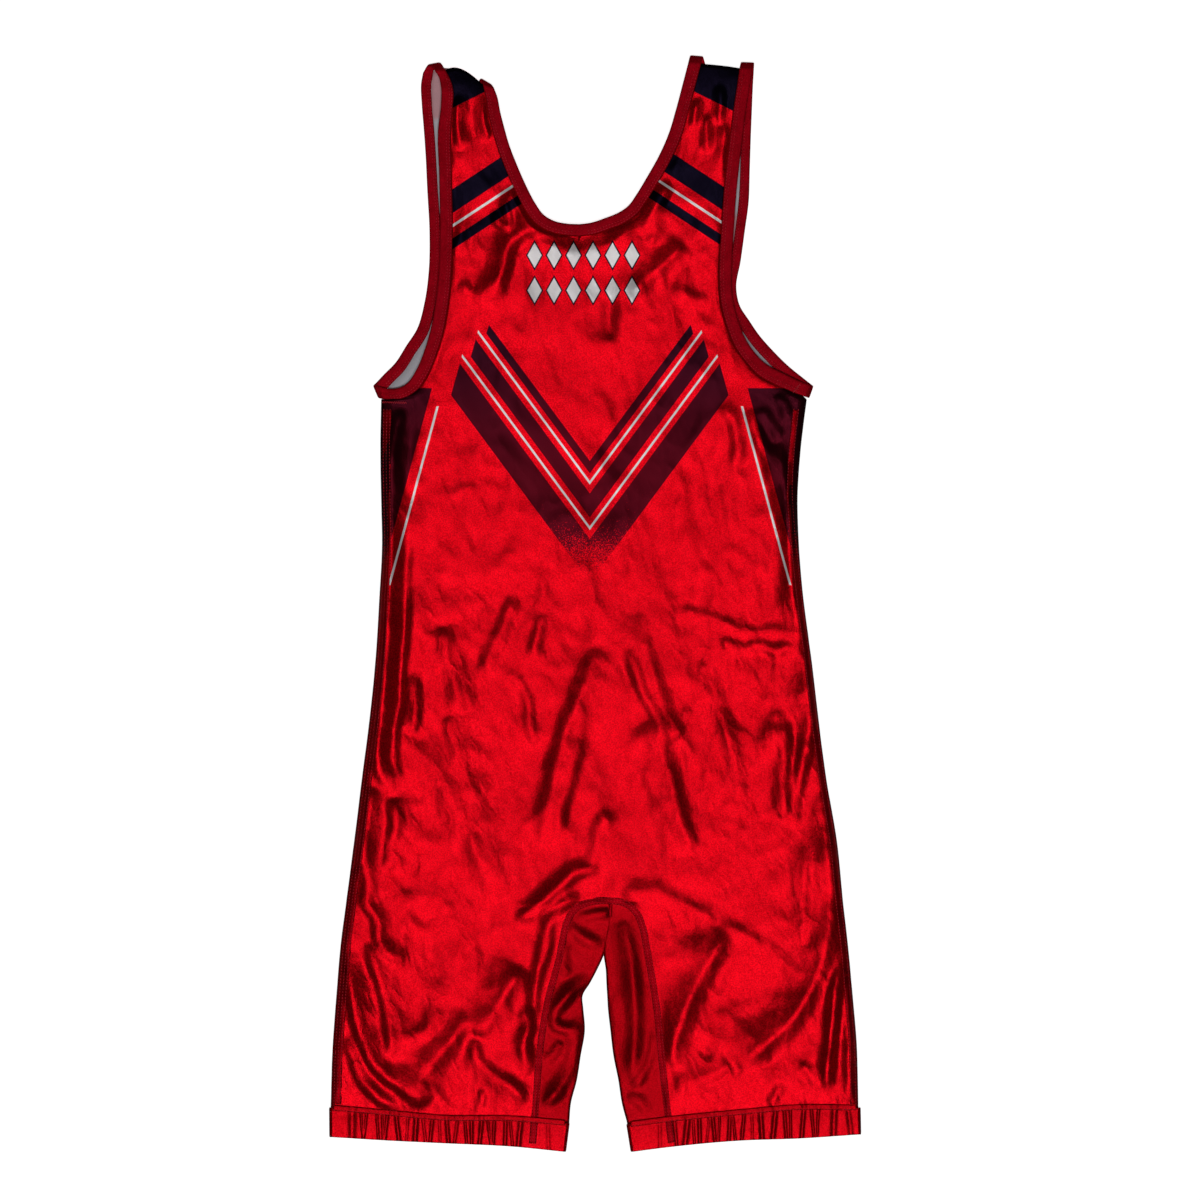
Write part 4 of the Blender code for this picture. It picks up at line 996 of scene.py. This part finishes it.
def back_half(side, arm_table, neck_table, gather_table):
    hem = side[2]
    outer, inner, plan = half_plan_of(side, arm_table, neck_table, BACK_ROWS, BACK_COLUMNS)
    x, y, from_outer = plan[:3]
    rise, free, near_hem = back_height(*plan, outer, inner, BACK_ROWS, hem)
    lifts = crease_heights(x, y, CREASES) + swell(x, y)
    z = rise + lifts * free * np.minimum(1.0, near_hem * 2.5)
    z = z + GATHER_SHARE * gathers(x, y, hem, gather_table) * np.clip(from_outer / 6, 0, 1)
    return np.stack([x, y, np.maximum(z, np.minimum(rise, LEAST_MID))], -1)


back = panel("back_cloth", (
    back_half(LEFT, ARM_LEFT_UPPER, NECK_UPPER_LEFT, GATHERS_LEFT),
    back_half(RIGHT, ARM_RIGHT_UPPER, NECK_UPPER_RIGHT, GATHERS_RIGHT),
))
back_tree = tree_of(back)
wall(back)
highest = max(v.co.z for v in back.data.vertices) / MM
print("back:", len(back.data.vertices), "points,", round(highest, 1), "mm at its highest fold")

# %% [markdown]
# ## Front panel
# The front lies flat underneath, face down, so what shows of it through the armholes is its inside. It is
# made as the back is, from its own edge tables, but nobody sees its creases: a coarse level grid will do.

# %% Front panel
FRONT_ROWS = {"leg": 24, "body": 20, "chest": 14, "strap": 30}
FRONT_COLUMNS = 12


def front_half(side, arm_table, neck_table):
    x, y = half_plan_of(side, arm_table, neck_table, FRONT_ROWS, FRONT_COLUMNS, low=True)[2][:2]
    return np.stack([x, y, np.full_like(x, FRONT_MID)], -1)


front = panel("front_cloth", (
    front_half(LEFT, ARM_LEFT_LOWER, NECK_LOWER_LEFT),
    front_half(RIGHT, ARM_RIGHT_LOWER, NECK_LOWER_RIGHT),
), face_down=True)
wall(front)
print("front:", len(front.data.vertices), "points")

# %% [markdown]
# ## Inner-leg panels
# Each is doubled over along the inside of the leg. The upper wall slopes from the arched seam down to the
# fold, which turns it away from the light, and its satin is a darker copy with painted shade: together
# these make it look so much darker than the back. Two sheets could be laid on each other, but one sheet
# bent round the fold can't come apart along it.

# %% Inner-leg panels
LEG_ROWS = 76
TOP_COLUMNS = 18                # across the upper wall
FOLD_COLUMNS = 9                # round the fold
LEG_EASE_ROWS = 14.0            # rows over which the seam climbs from the hem to the crotch's height
LEG_LEAST = 2.4                 # lowest that a trough takes the upper wall


def inner_leg_row(sewn, fold, low):
    """One section: upper wall from the seam to the fold, round it, and back along the lower wall."""
    way = (fold - sewn) / np.linalg.norm(fold - sewn)
    edge = fold - way * INNER_FOLD
    top = FOLD_MID + INNER_FOLD
    row = []
    for share in np.linspace(0.0, 0.96, TOP_COLUMNS):
        spot = sewn + share * (edge - sewn)
        row.append((*spot, top + (low - top) * (1 - share) ** 1.5))
    for angle in np.radians(np.linspace(0.0, 180.0, FOLD_COLUMNS)):
        spot = edge + way * INNER_FOLD * math.sin(angle)
        row.append((*spot, FOLD_MID + INNER_FOLD * math.cos(angle)))
    for share in (0.66, 0.33, 0.0):
        row.append((*(sewn + share * (edge - sewn)), FRONT_MID))
    return row


def inner_leg(name, seam, inside, hem, creases):
    """The inner-leg panel, from hem to crotch."""
    seam_path = along(seam, LEG_ROWS)
    fold_path = along(inside, LEG_ROWS)
    for path in (seam_path, fold_path):
        path[0, 1] = hem_top(hem, path[0, 0])
    seam_path[-1] += (seam_path[-2] - seam_path[-1]) * 0.3
    points = np.array([
        inner_leg_row(sewn, fold, HEM_MID + (CROTCH_MID - HEM_MID) * min(1.0, i / LEG_EASE_ROWS))
        for i, (sewn, fold) in enumerate(zip(seam_path, fold_path))
    ])
    top = points[:, :TOP_COLUMNS]
    ease = np.sin(np.linspace(0.15, math.pi - 0.25, TOP_COLUMNS))[None, :]
    ease = ease * np.clip(np.arange(LEG_ROWS) / 8, 0, 1)[:, None]
    top[:, :, 2] += crease_heights(top[:, :, 0], top[:, :, 1], creases) * ease
    top[:, :, 2] = np.maximum(top[:, :, 2], LEG_LEAST)
    shape = points.reshape(-1, 3)
    quads = grid_faces(LEG_ROWS, points.shape[1])
    faces = quads if looks_up(shape, quads[:TOP_COLUMNS - 1]) else quads[:, ::-1]
    # The inner-leg satin is a darker copy of the satin, with painted shade.
    piece = mesh_object(name, shape, faces, [inner_leg_satin_shaded, inside_face])
    tree = tree_of(piece)
    wall(piece)
    return piece, tree


INNER_CREASES_LEFT = (
    (((-22, -247), (-8, -258), (6, -264)), 6, 6, 2.4),
    (((-14, -242), (0, -239), (12, -238)), 4, 6, 1.6),
    (((-1, -292), (-16, -298), (-27, -308), (-36, -318)), 7, 10, 3.6),
    (((-36, -317), (-29, -326), (-20, -328), (-8, -321)), 6, 5, 2.6),
    (((-12, -324), (-14, -345), (-19, -362), (-28, -374), (-41, -384)), 6, 11, 3.2),
    (((-41, -353), (-31, -346), (-26, -337)), 5, 5, 1.6),
    (((-42, -387), (-33, -383), (-22, -377)), 5, 6, 1.8),
    (((-24, -262), (-26, -276), (-22, -288)), 6, 5, 1.8),
)
INNER_CREASES_RIGHT = (
    (((21, -244), (27, -268), (30, -296), (31, -326), (29, -352), (27, -372)), 9, 15, 3.2),
    (((47, -330), (44, -346), (38, -360), (30, -374)), 5, 6, 1.8),
    (((12, -300), (14, -322), (15, -346)), 8, 3, 1.6),
    (((24, -380), (34, -384), (40, -394)), 7, 5, 1.8),
)
inner_left, inner_left_tree = inner_leg(
    "inner_leg_cloth_left", SEAM_LEFT, INSIDE_LEFT, HEM_LEFT, INNER_CREASES_LEFT)
inner_right, inner_right_tree = inner_leg(
    "inner_leg_cloth_right", SEAM_RIGHT, INSIDE_RIGHT, HEM_RIGHT, INNER_CREASES_RIGHT)
print("inner legs:", len(inner_left.data.vertices), "points each")

# %% [markdown]
# ## Bindings
# A binding is a closed band, folded over the raw edge. It runs up the back, over the shoulder and down
# the front. A curve with a bevel would keep one width and one tilt, but a laid band widens and leans. So
# it is skinned as a ring: one small rounded section after another, joined end to end.

# %% Rings
TURN_ROWS = 15                  # sections that carry a band over the shoulder or round the armpit


def ring_sections(upper, shoulder, lower, pit):
    """Sections round a binding: upper layer, shoulder, lower layer, armpit."""
    top = along((upper[-1], shoulder, lower[0]), TURN_ROWS)[1:-1]
    bottom = along((lower[-1], pit, upper[0]), TURN_ROWS)[1:-1]
    return np.concatenate([upper, top, lower, bottom])


def ring(name, sections, profile, lift, material):
    """Skins a closed ring of sections, each with a free and a sewn edge."""
    free = np.column_stack([sections[:, :2], sections[:, 4]])
    sewn = np.column_stack([sections[:, 2:4], sections[:, 4]])
    middle = (free + sewn) / 2
    ahead = np.roll(middle, -1, axis=0) - np.roll(middle, 1, axis=0)
    across = sewn - free
    normal = np.cross(ahead, across)
    normal /= np.linalg.norm(normal, axis=1)[:, None]
    flat = free[:, None] + profile[None, :, :1] * across[:, None]
    points = flat + profile[None, :, 1:] * normal[:, None]
    points[:, :, 2] += lift(flat, profile[None, :, 0])
    index = np.arange(points[:, :, 0].size).reshape(points.shape[:2])
    ahead = np.roll(index, -1, axis=0)
    quads = [index, np.roll(index, -1, axis=1), np.roll(ahead, -1, axis=1), ahead]
    quads = np.stack(quads, -1).reshape(-1, 4)
    piece = mesh_object(name, points.reshape(-1, 3), quads, [material])
    edit_mesh(piece, lambda shape: bmesh.ops.recalc_face_normals(shape, faces=shape.faces))
    return piece


def rounded_profile(thickness, count=9, edge=0.12):
    """Half a band's outline and its mirror: (share across, height) round a flattened oval."""
    shares = (1 - np.cos(np.linspace(0, math.pi, count))) / 2
    height = thickness / 2 * np.clip(np.minimum(shares, 1 - shares) / edge + 0.35, 0, 1) ** 0.5
    upper = np.column_stack([shares, height])
    return np.concatenate([upper * (1, -1), upper[::-1]])


print("band profile:", len(rounded_profile(BAND)), "points round")

# %% Bindings
ARM_SECTIONS = 170              # on each layer
NECK_SECTIONS = 120             # on each half of each layer
WAVE = 0.12                     # how far a band lifts and sinks along its length, mm


def binding(name, upper, shoulder, lower, pit):
    sections = ring_sections(upper, shoulder, lower, pit)
    phase = len(name)           # so that no two bands wave alike

    def wave(flat, share):
        run = np.arange(len(flat))[:, None]
        return WAVE * np.sin(run * 0.19 + phase) * np.sin(run * 0.057)

    return ring(name, sections, rounded_profile(BAND), wave, binding_cloth)


band_left = binding(
    "armhole_band_left", along(ARM_LEFT_UPPER, ARM_SECTIONS), ARM_LEFT_SHOULDER,
    along(ARM_LEFT_LOWER, ARM_SECTIONS), ARM_LEFT_PIT)
band_right = binding(
    "armhole_band_right", along(ARM_RIGHT_UPPER, ARM_SECTIONS), ARM_RIGHT_SHOULDER,
    along(ARM_RIGHT_LOWER, ARM_SECTIONS), ARM_RIGHT_PIT)
neck_halves = [
    along(table, NECK_SECTIONS)
    for table in (NECK_UPPER_LEFT, NECK_UPPER_RIGHT, NECK_LOWER_RIGHT, NECK_LOWER_LEFT)
]
neck_upper = np.concatenate([neck_halves[0][::-1], neck_halves[1][1:]])
neck_lower = np.concatenate([neck_halves[2][::-1], neck_halves[3][1:]])
band_neck = binding("neck_band", neck_upper, NECK_RIGHT_SHOULDER, neck_lower, NECK_LEFT_SHOULDER)
print("bindings:", ", ".join(band.name for band in (band_left, band_right, band_neck)))

# %% [markdown]
# ## Leg hems
# Each hem is a tube of doubled cloth over an elastic that is shorter than the cloth, so the cloth puckers
# into uneven pleats between puffs. The tube is flattened: upper wall, fold, lower wall, fold. It is skinned
# as a ring, as a binding is, and a rule lowers the upper wall at each pleat.

# %% Leg hems
HEM_SECTIONS = 420              # along the upper wall
UNDER_SECTIONS = 60             # along the lower wall
PUFF = 0.35                     # how far the cloth between pleats stands up, mm


def hem_tube(name, table, gather_table):
    top = along(table, HEM_SECTIONS)
    upper = np.column_stack([top, np.full(HEM_SECTIONS, HEM_MID)])
    lower = along(table, UNDER_SECTIONS)[::-1]
    lower = np.column_stack([lower, np.full(UNDER_SECTIONS, HEM / 2)])
    outward = math.copysign(1.0, table[0][0] - table[-1][0])
    radius = (HEM_MID - HEM / 2) / 2
    ends = []
    for row, way in ((upper[-1], -outward), (upper[0], outward)):
        turn = []
        for angle in np.radians(np.arange(15.0, 180.0, 15.0)):
            reach = way * radius * math.sin(angle)
            height = HEM / 2 + radius + radius * math.cos(angle)
            turn.append((row[0] + reach, row[1], row[2] + reach, row[3], height))
        ends.append(np.array(turn))
    sections = np.concatenate([upper, ends[0], lower, ends[1][::-1]])

    def pleats(flat, share):
        x, z = flat[:, :, 0], flat[:, :, 2]
        total = np.full_like(x, PUFF)
        for i, (middle, depth, half) in enumerate(gather_table):
            lean = 2.6 * math.sin(i * 2.3)
            away = (x - middle - lean * (share - 0.5)) / (half * 0.9)
            total = total - 0.85 * depth * np.exp(-away ** 2) * np.clip(share * 5 + 0.3, 0, 1)
        puff = PUFF * np.sin(math.pi * np.clip(share, 0, 1))
        return np.where(z > HEM_MID - 0.01, total + puff, 0.0)

    # The hem's satin is a darker copy of the satin, with painted shade.
    piece = ring(name, sections, rounded_profile(HEM, 15, 0.05), pleats, shaded_hem_satin)
    return piece, tree_of(piece)


hem_left, hem_left_tree = hem_tube("leg_hem_cloth_left", HEM_LEFT, GATHERS_LEFT)
hem_right, hem_right_tree = hem_tube("leg_hem_cloth_right", HEM_RIGHT, GATHERS_RIGHT)
print("hems:", len(hem_left.data.vertices), "points each")

# %% [markdown]
# ## Seams
# The panels are joined by flatlock: their edges meet and a band of stitching covers the join. Each band
# is a thin strip that drapes over both panels. A ray dropped from above at every point finds the cloth.

# %% Draping on the cloth
DROP = 0.05                     # height that the rays start from, m
SMOOTHING = 5                   # points that a draped height is averaged over


def cloth_height(trees, x, y):
    """Height of the upper face of the cloth below a point, or none."""
    start, down = Vector((x * MM, y * MM, DROP)), Vector((0, 0, -1))
    found = [tree.ray_cast(start, down)[0] for tree in trees]
    heights = [hit.z / MM + CLOTH / 2 for hit in found if hit is not None]
    return max(heights) if heights else None


def draped(path, offset, trees):
    """A path moved sideways by an offset and dropped on the cloth, smoothed along its length."""
    ahead = np.gradient(path, axis=0)
    ahead /= np.linalg.norm(ahead, axis=1)[:, None]
    spots = path + offset * np.column_stack([-ahead[:, 1], ahead[:, 0]])
    heights = [cloth_height(trees, x, y) for x, y in spots]
    known = [i for i, h in enumerate(heights) if h is not None]
    heights = np.interp(np.arange(len(heights)), known, [heights[i] for i in known])
    padded = np.pad(heights, SMOOTHING // 2, mode="edge")
    heights = sum(padded[i:i + len(heights)] for i in range(SMOOTHING)) / SMOOTHING
    return np.column_stack([spots, heights])


all_trees = (back_tree, inner_left_tree, inner_right_tree, hem_left_tree, hem_right_tree)
low_height = cloth_height(all_trees, *CROTCH)
print("cloth at the crotch:", None if low_height is None else round(low_height, 1), "mm up")

# %% Seam strips
STRIP = 0.5                     # thickness of a strip, mm
SUNK = 0.05                     # how deep a strip's edges lie in the cloth, mm
INSET_LEFT = ((-400, 4.6), (-200, 4.2), (0, 3.8), (160, 4.4))       # the left side seam: y, inset
INSET_RIGHT = ((-400, 3.4), (0, 2.8), (40, 3.2), (90, 6), (160, 7))
SIDE_LOW, SIDE_HIGH = -386.0, 150.0
HEM_DEPTH = 19.0


def strip(name, path, half, rise=0.3, cloth=seam_cloth, level=False, columns=7):
    """A seam's band: raised in the middle, its edges sunk in the cloth. A level one bridges a step."""
    shares = np.linspace(-1, 1, columns)
    points = np.stack([draped(path, share * half, all_trees) for share in shares], 1)
    if level:
        points[:, :, 2] = points[:, :, 2].max(axis=1, keepdims=True)
    points[:, :, 2] += rise * (1 - np.abs(shares) ** 5) - SUNK
    flat_points = points.reshape(-1, 3)
    faces = facing_up(flat_points, grid_faces(len(path), columns))
    piece = mesh_object(name, flat_points, faces, [cloth])
    wall(piece, STRIP, -1.0, 0)
    return piece


def side_line(column, inset):
    """The side seam's path, this far in from the edge of the flattened singlet."""
    path = flat_line([(row[column], row[0]) for row in reversed(SIDE)], 420)
    path = path[(path[:, 1] > SIDE_LOW) & (path[:, 1] < SIDE_HIGH)]
    shift = np.interp(path[:, 1], [row[0] for row in inset], [row[1] for row in inset])
    inward = 1.0 if column == 1 else -1.0
    return np.column_stack([path[:, 0] + inward * shift, path[:, 1]])


def through_hem(seam):
    """A seam's path, carried on down through its hem."""
    path = flat_line(seam, 110)
    way = path[0] - path[4]
    return np.concatenate([[path[0] + way / np.linalg.norm(way) * HEM_DEPTH], path])


def hem_join(name, hem):
    # The join's satin is a darker copy of the satin, with painted shade.
    return strip(name, along(hem, 260)[2:-2, :2], 2.2, 0.1, join_shaded_satin, True)


arch = np.concatenate([through_hem(SEAM_LEFT)[:-3], through_hem(SEAM_RIGHT)[::-1][3:]])
arch = flat_line(np.concatenate([arch[:-2:4], arch[-1:]]), 300)
side_left = side_line(1, INSET_LEFT)
side_right = side_line(2, INSET_RIGHT)
strips = [
    strip("side_seam_left", side_left, 3.5),
    strip("side_seam_right", side_right, 2.6),
    strip("inner_leg_seams", arch, 2.7),
    hem_join("hem_seam_left", HEM_LEFT),
    hem_join("hem_seam_right", HEM_RIGHT),
]
crotch_line = flat_line([(12.2, -229.8), (12.0, -235.0), (12.1, -241.0)], 24)
strips.append(strip("crotch_seam", crotch_line, 1.4, columns=4))
print("seam strips:", len(strips))

# %% [markdown]
# ## Stitches
# A row of stitches is one thread shape repeated at even pitch along a line. Geometry Nodes does that:
# resample the line, set a short capsule on each point turned along the line, and realize the copies. A
# picture of stitches would look flat from low down, and thousands set by hand would never be even.

# %% Stitch rows as Geometry Nodes
STITCH_INPUTS = {
    "Geometry": "Geometry", "Pitch": 0.0026, "Length": 0.0019, "Width": 0.0006, "Turn": 0.0,
    "Thread": "Material",
}
VARY_SEED = 3


def make_stitch_group():
    group, given, out = new_group(
        "stitch_rows", "GeometryNodeTree", STITCH_INPUTS, {"Geometry": "Geometry"})

    def node(kind, inputs=None, output=0, **settings):
        return add_node(group, kind, inputs, **settings).outputs[output]

    curve = node("GeometryNodeMeshToCurve", {0: given["Geometry"]})
    spaced = node(
        "GeometryNodeResampleCurve", {"Curve": curve, "Length": given["Pitch"]}, mode="LENGTH")
    capsule = node("GeometryNodeMeshUVSphere", {"Segments": 6, "Rings": 4, "Radius": 0.5})
    tangent = node("GeometryNodeInputTangent")
    along_line = node("FunctionNodeAlignRotationToVector", {"Vector": tangent}, axis="X")
    other = maths("MODULO", Number(node("GeometryNodeInputIndex")), 2.0)
    turn = (other * 2.0 - 1.0) * Number(given["Turn"])
    upright = node("ShaderNodeCombineXYZ", {"Z": turn})
    turned = node(
        "FunctionNodeRotateRotation", {0: along_line, 1: upright}, rotation_space="GLOBAL")
    vary = node(
        "FunctionNodeRandomValue", {2: 0.8, 3: 1.1, "Seed": VARY_SEED}, 1, data_type="FLOAT")
    size = node("ShaderNodeCombineXYZ", {
        "X": Number(given["Length"]) * Number(vary), "Y": given["Width"], "Z": given["Width"]})
    copies = node("GeometryNodeInstanceOnPoints", {
        "Points": spaced, "Instance": capsule, "Rotation": turned, "Scale": size})
    real = node("GeometryNodeRealizeInstances", {0: copies})
    dyed = node("GeometryNodeSetMaterial", {"Geometry": real, "Material": given["Thread"]})
    fill(out, {0: node("GeometryNodeSetShadeSmooth", {0: dyed})})
    return group


stitch_group = make_stitch_group()
print("stitch group:", len(stitch_group.nodes), "nodes")


# %% Rows of stitches
def stitches(name, lines, pitch=2.4, length=1.8, width=0.65, turn=0.0):
    """Rows of stitches along lines of points, as one plain mesh."""
    edges = []
    start = 0
    for line in lines:
        edges += [(start + i, start + i + 1) for i in range(len(line) - 1)]
        start += len(line)
    guide = bpy.data.meshes.new(name + "_guide")
    guide.from_pydata((np.concatenate(lines) * MM).tolist(), edges, [])
    piece = add_object(name + "_guide", guide)
    modifier = piece.modifiers.new("stitch rows", "NODES")
    modifier.node_group = stitch_group
    values = {
        "Pitch": pitch * MM, "Length": length * MM, "Width": width * MM, "Turn": turn,
        "Thread": thread,
    }
    for item in stitch_group.interface.items_tree:
        if item.in_out == "INPUT" and item.name in values:
            modifier[item.identifier] = values[item.name]
    graph = bpy.context.evaluated_depsgraph_get()
    mesh = bpy.data.meshes.new_from_object(piece.evaluated_get(graph))
    bpy.data.objects.remove(piece)
    if not mesh.materials:
        mesh.materials.append(thread)
    print(name, len(mesh.polygons), "faces")
    return add_object(name, mesh)


# %% Stitch lines
TWIN = (0.66, 0.88)             # the two rows on a binding, as shares of its width
BAND_END = 6                    # points left free at each end of a binding's line
ON_BAND = BAND / 2 + 0.05       # height of the thread over a binding's middle


def binding_lines(count, *tables):
    """Both rows of stitches along bindings, on their upper face."""
    lines = []
    for share in TWIN:
        for table in tables:
            rows = along(table, count)[BAND_END:count - BAND_END]
            spots = rows[:, :2] + share * (rows[:, 2:4] - rows[:, :2])
            lines.append(np.column_stack([spots, rows[:, 4] + ON_BAND]))
    return lines


def lifted(path, offsets, up=0.3):
    """Lines beside a seam's path, on top of its strip."""
    return [draped(path, offset, all_trees) + (0, 0, up) for offset in offsets]


def hem_lines(table):
    """Lines of stitches just below and just above a hem's top edge."""
    path = along(table, 260)[3:-3, :2]
    return [lifted(path + (0, up), (0.0,), 0.24)[0] for up in (-1.6, 1.8)]


stitch_neck = stitches("neck_stitches", binding_lines(
    150, NECK_UPPER_LEFT, NECK_UPPER_RIGHT, NECK_LOWER_LEFT, NECK_LOWER_RIGHT))
stitch_arm_left = stitches(
    "armhole_stitches_left", binding_lines(220, ARM_LEFT_UPPER, ARM_LEFT_LOWER))
stitch_arm_right = stitches(
    "armhole_stitches_right", binding_lines(220, ARM_RIGHT_UPPER, ARM_RIGHT_LOWER))
stitch_hem_left = stitches("hem_stitches_left", hem_lines(HEM_LEFT))
stitch_hem_right = stitches("hem_stitches_right", hem_lines(HEM_RIGHT))
stitch_side_left = stitches("side_stitches_left", lifted(side_left, (-2.4, 0.0, 2.4)))
stitch_side_right = stitches("side_stitches_right", lifted(side_right, (-1.8, 1.8)))
stitch_inner = stitches("inner_leg_stitches", lifted(arch, (-2.0, 0.0, 2.0)))

# %% Bartacks at the armpits
TACKS = (((-163.5, 155.0), (-145.5, 154.6)), ((152.6, 162.6), (157.6, 168.4)))
pit_trees = all_trees + (tree_of(band_left), tree_of(band_right))
tacks = [draped(np.linspace(*ends, 24), 0.0, pit_trees) for ends in np.array(TACKS)]
bartacks = stitches("armpit_bartacks", tacks, 0.7, 2.2, 0.5, 1.25)
print("tacks:", len(tacks))

# %% [markdown]
# ## Hand over
# Every piece rides on the one body and stands in for its solid.

# %% Riding and replacing
PIECES = (
    (back, "back_panel", "stretch_knit"),
    (front, "front_panel", "stretch_knit"),
    (inner_left, "inner_leg_panel_left", "stretch_knit"),
    (inner_right, "inner_leg_panel_right", "stretch_knit"),
    (hem_left, "leg_hem_left", "stretch_knit"),
    (hem_right, "leg_hem_right", "stretch_knit"),
    (band_left, "armhole_binding_left", "binding"),
    (band_right, "armhole_binding_right", "binding"),
    (band_neck, "neck_binding", "binding"),
)
TRIMS = (
    (strips[0], "back_panel", "stretch_knit"),
    (strips[1], "back_panel", "stretch_knit"),
    (strips[2], "back_panel", "stretch_knit"),
    (strips[3], "leg_hem_left", "stretch_knit"),
    (strips[4], "leg_hem_right", "stretch_knit"),
    (strips[5], "inner_leg_panel_right", "stretch_knit"),
    (stitch_side_left, "back_panel", "binding"),
    (stitch_side_right, "back_panel", "binding"),
    (stitch_inner, "back_panel", "binding"),
    (bartacks, "back_panel", "binding"),
    (stitch_neck, "neck_binding", "binding"),
    (stitch_arm_left, "armhole_binding_left", "binding"),
    (stitch_arm_right, "armhole_binding_right", "binding"),
    (stitch_hem_left, "leg_hem_left", "binding"),
    (stitch_hem_right, "leg_hem_right", "binding"),
)
for piece, node, slot in PIECES + TRIMS:
    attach(piece, "root")
    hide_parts(node)
print("pieces:", len(PIECES), "of cloth and", len(TRIMS), "trims")
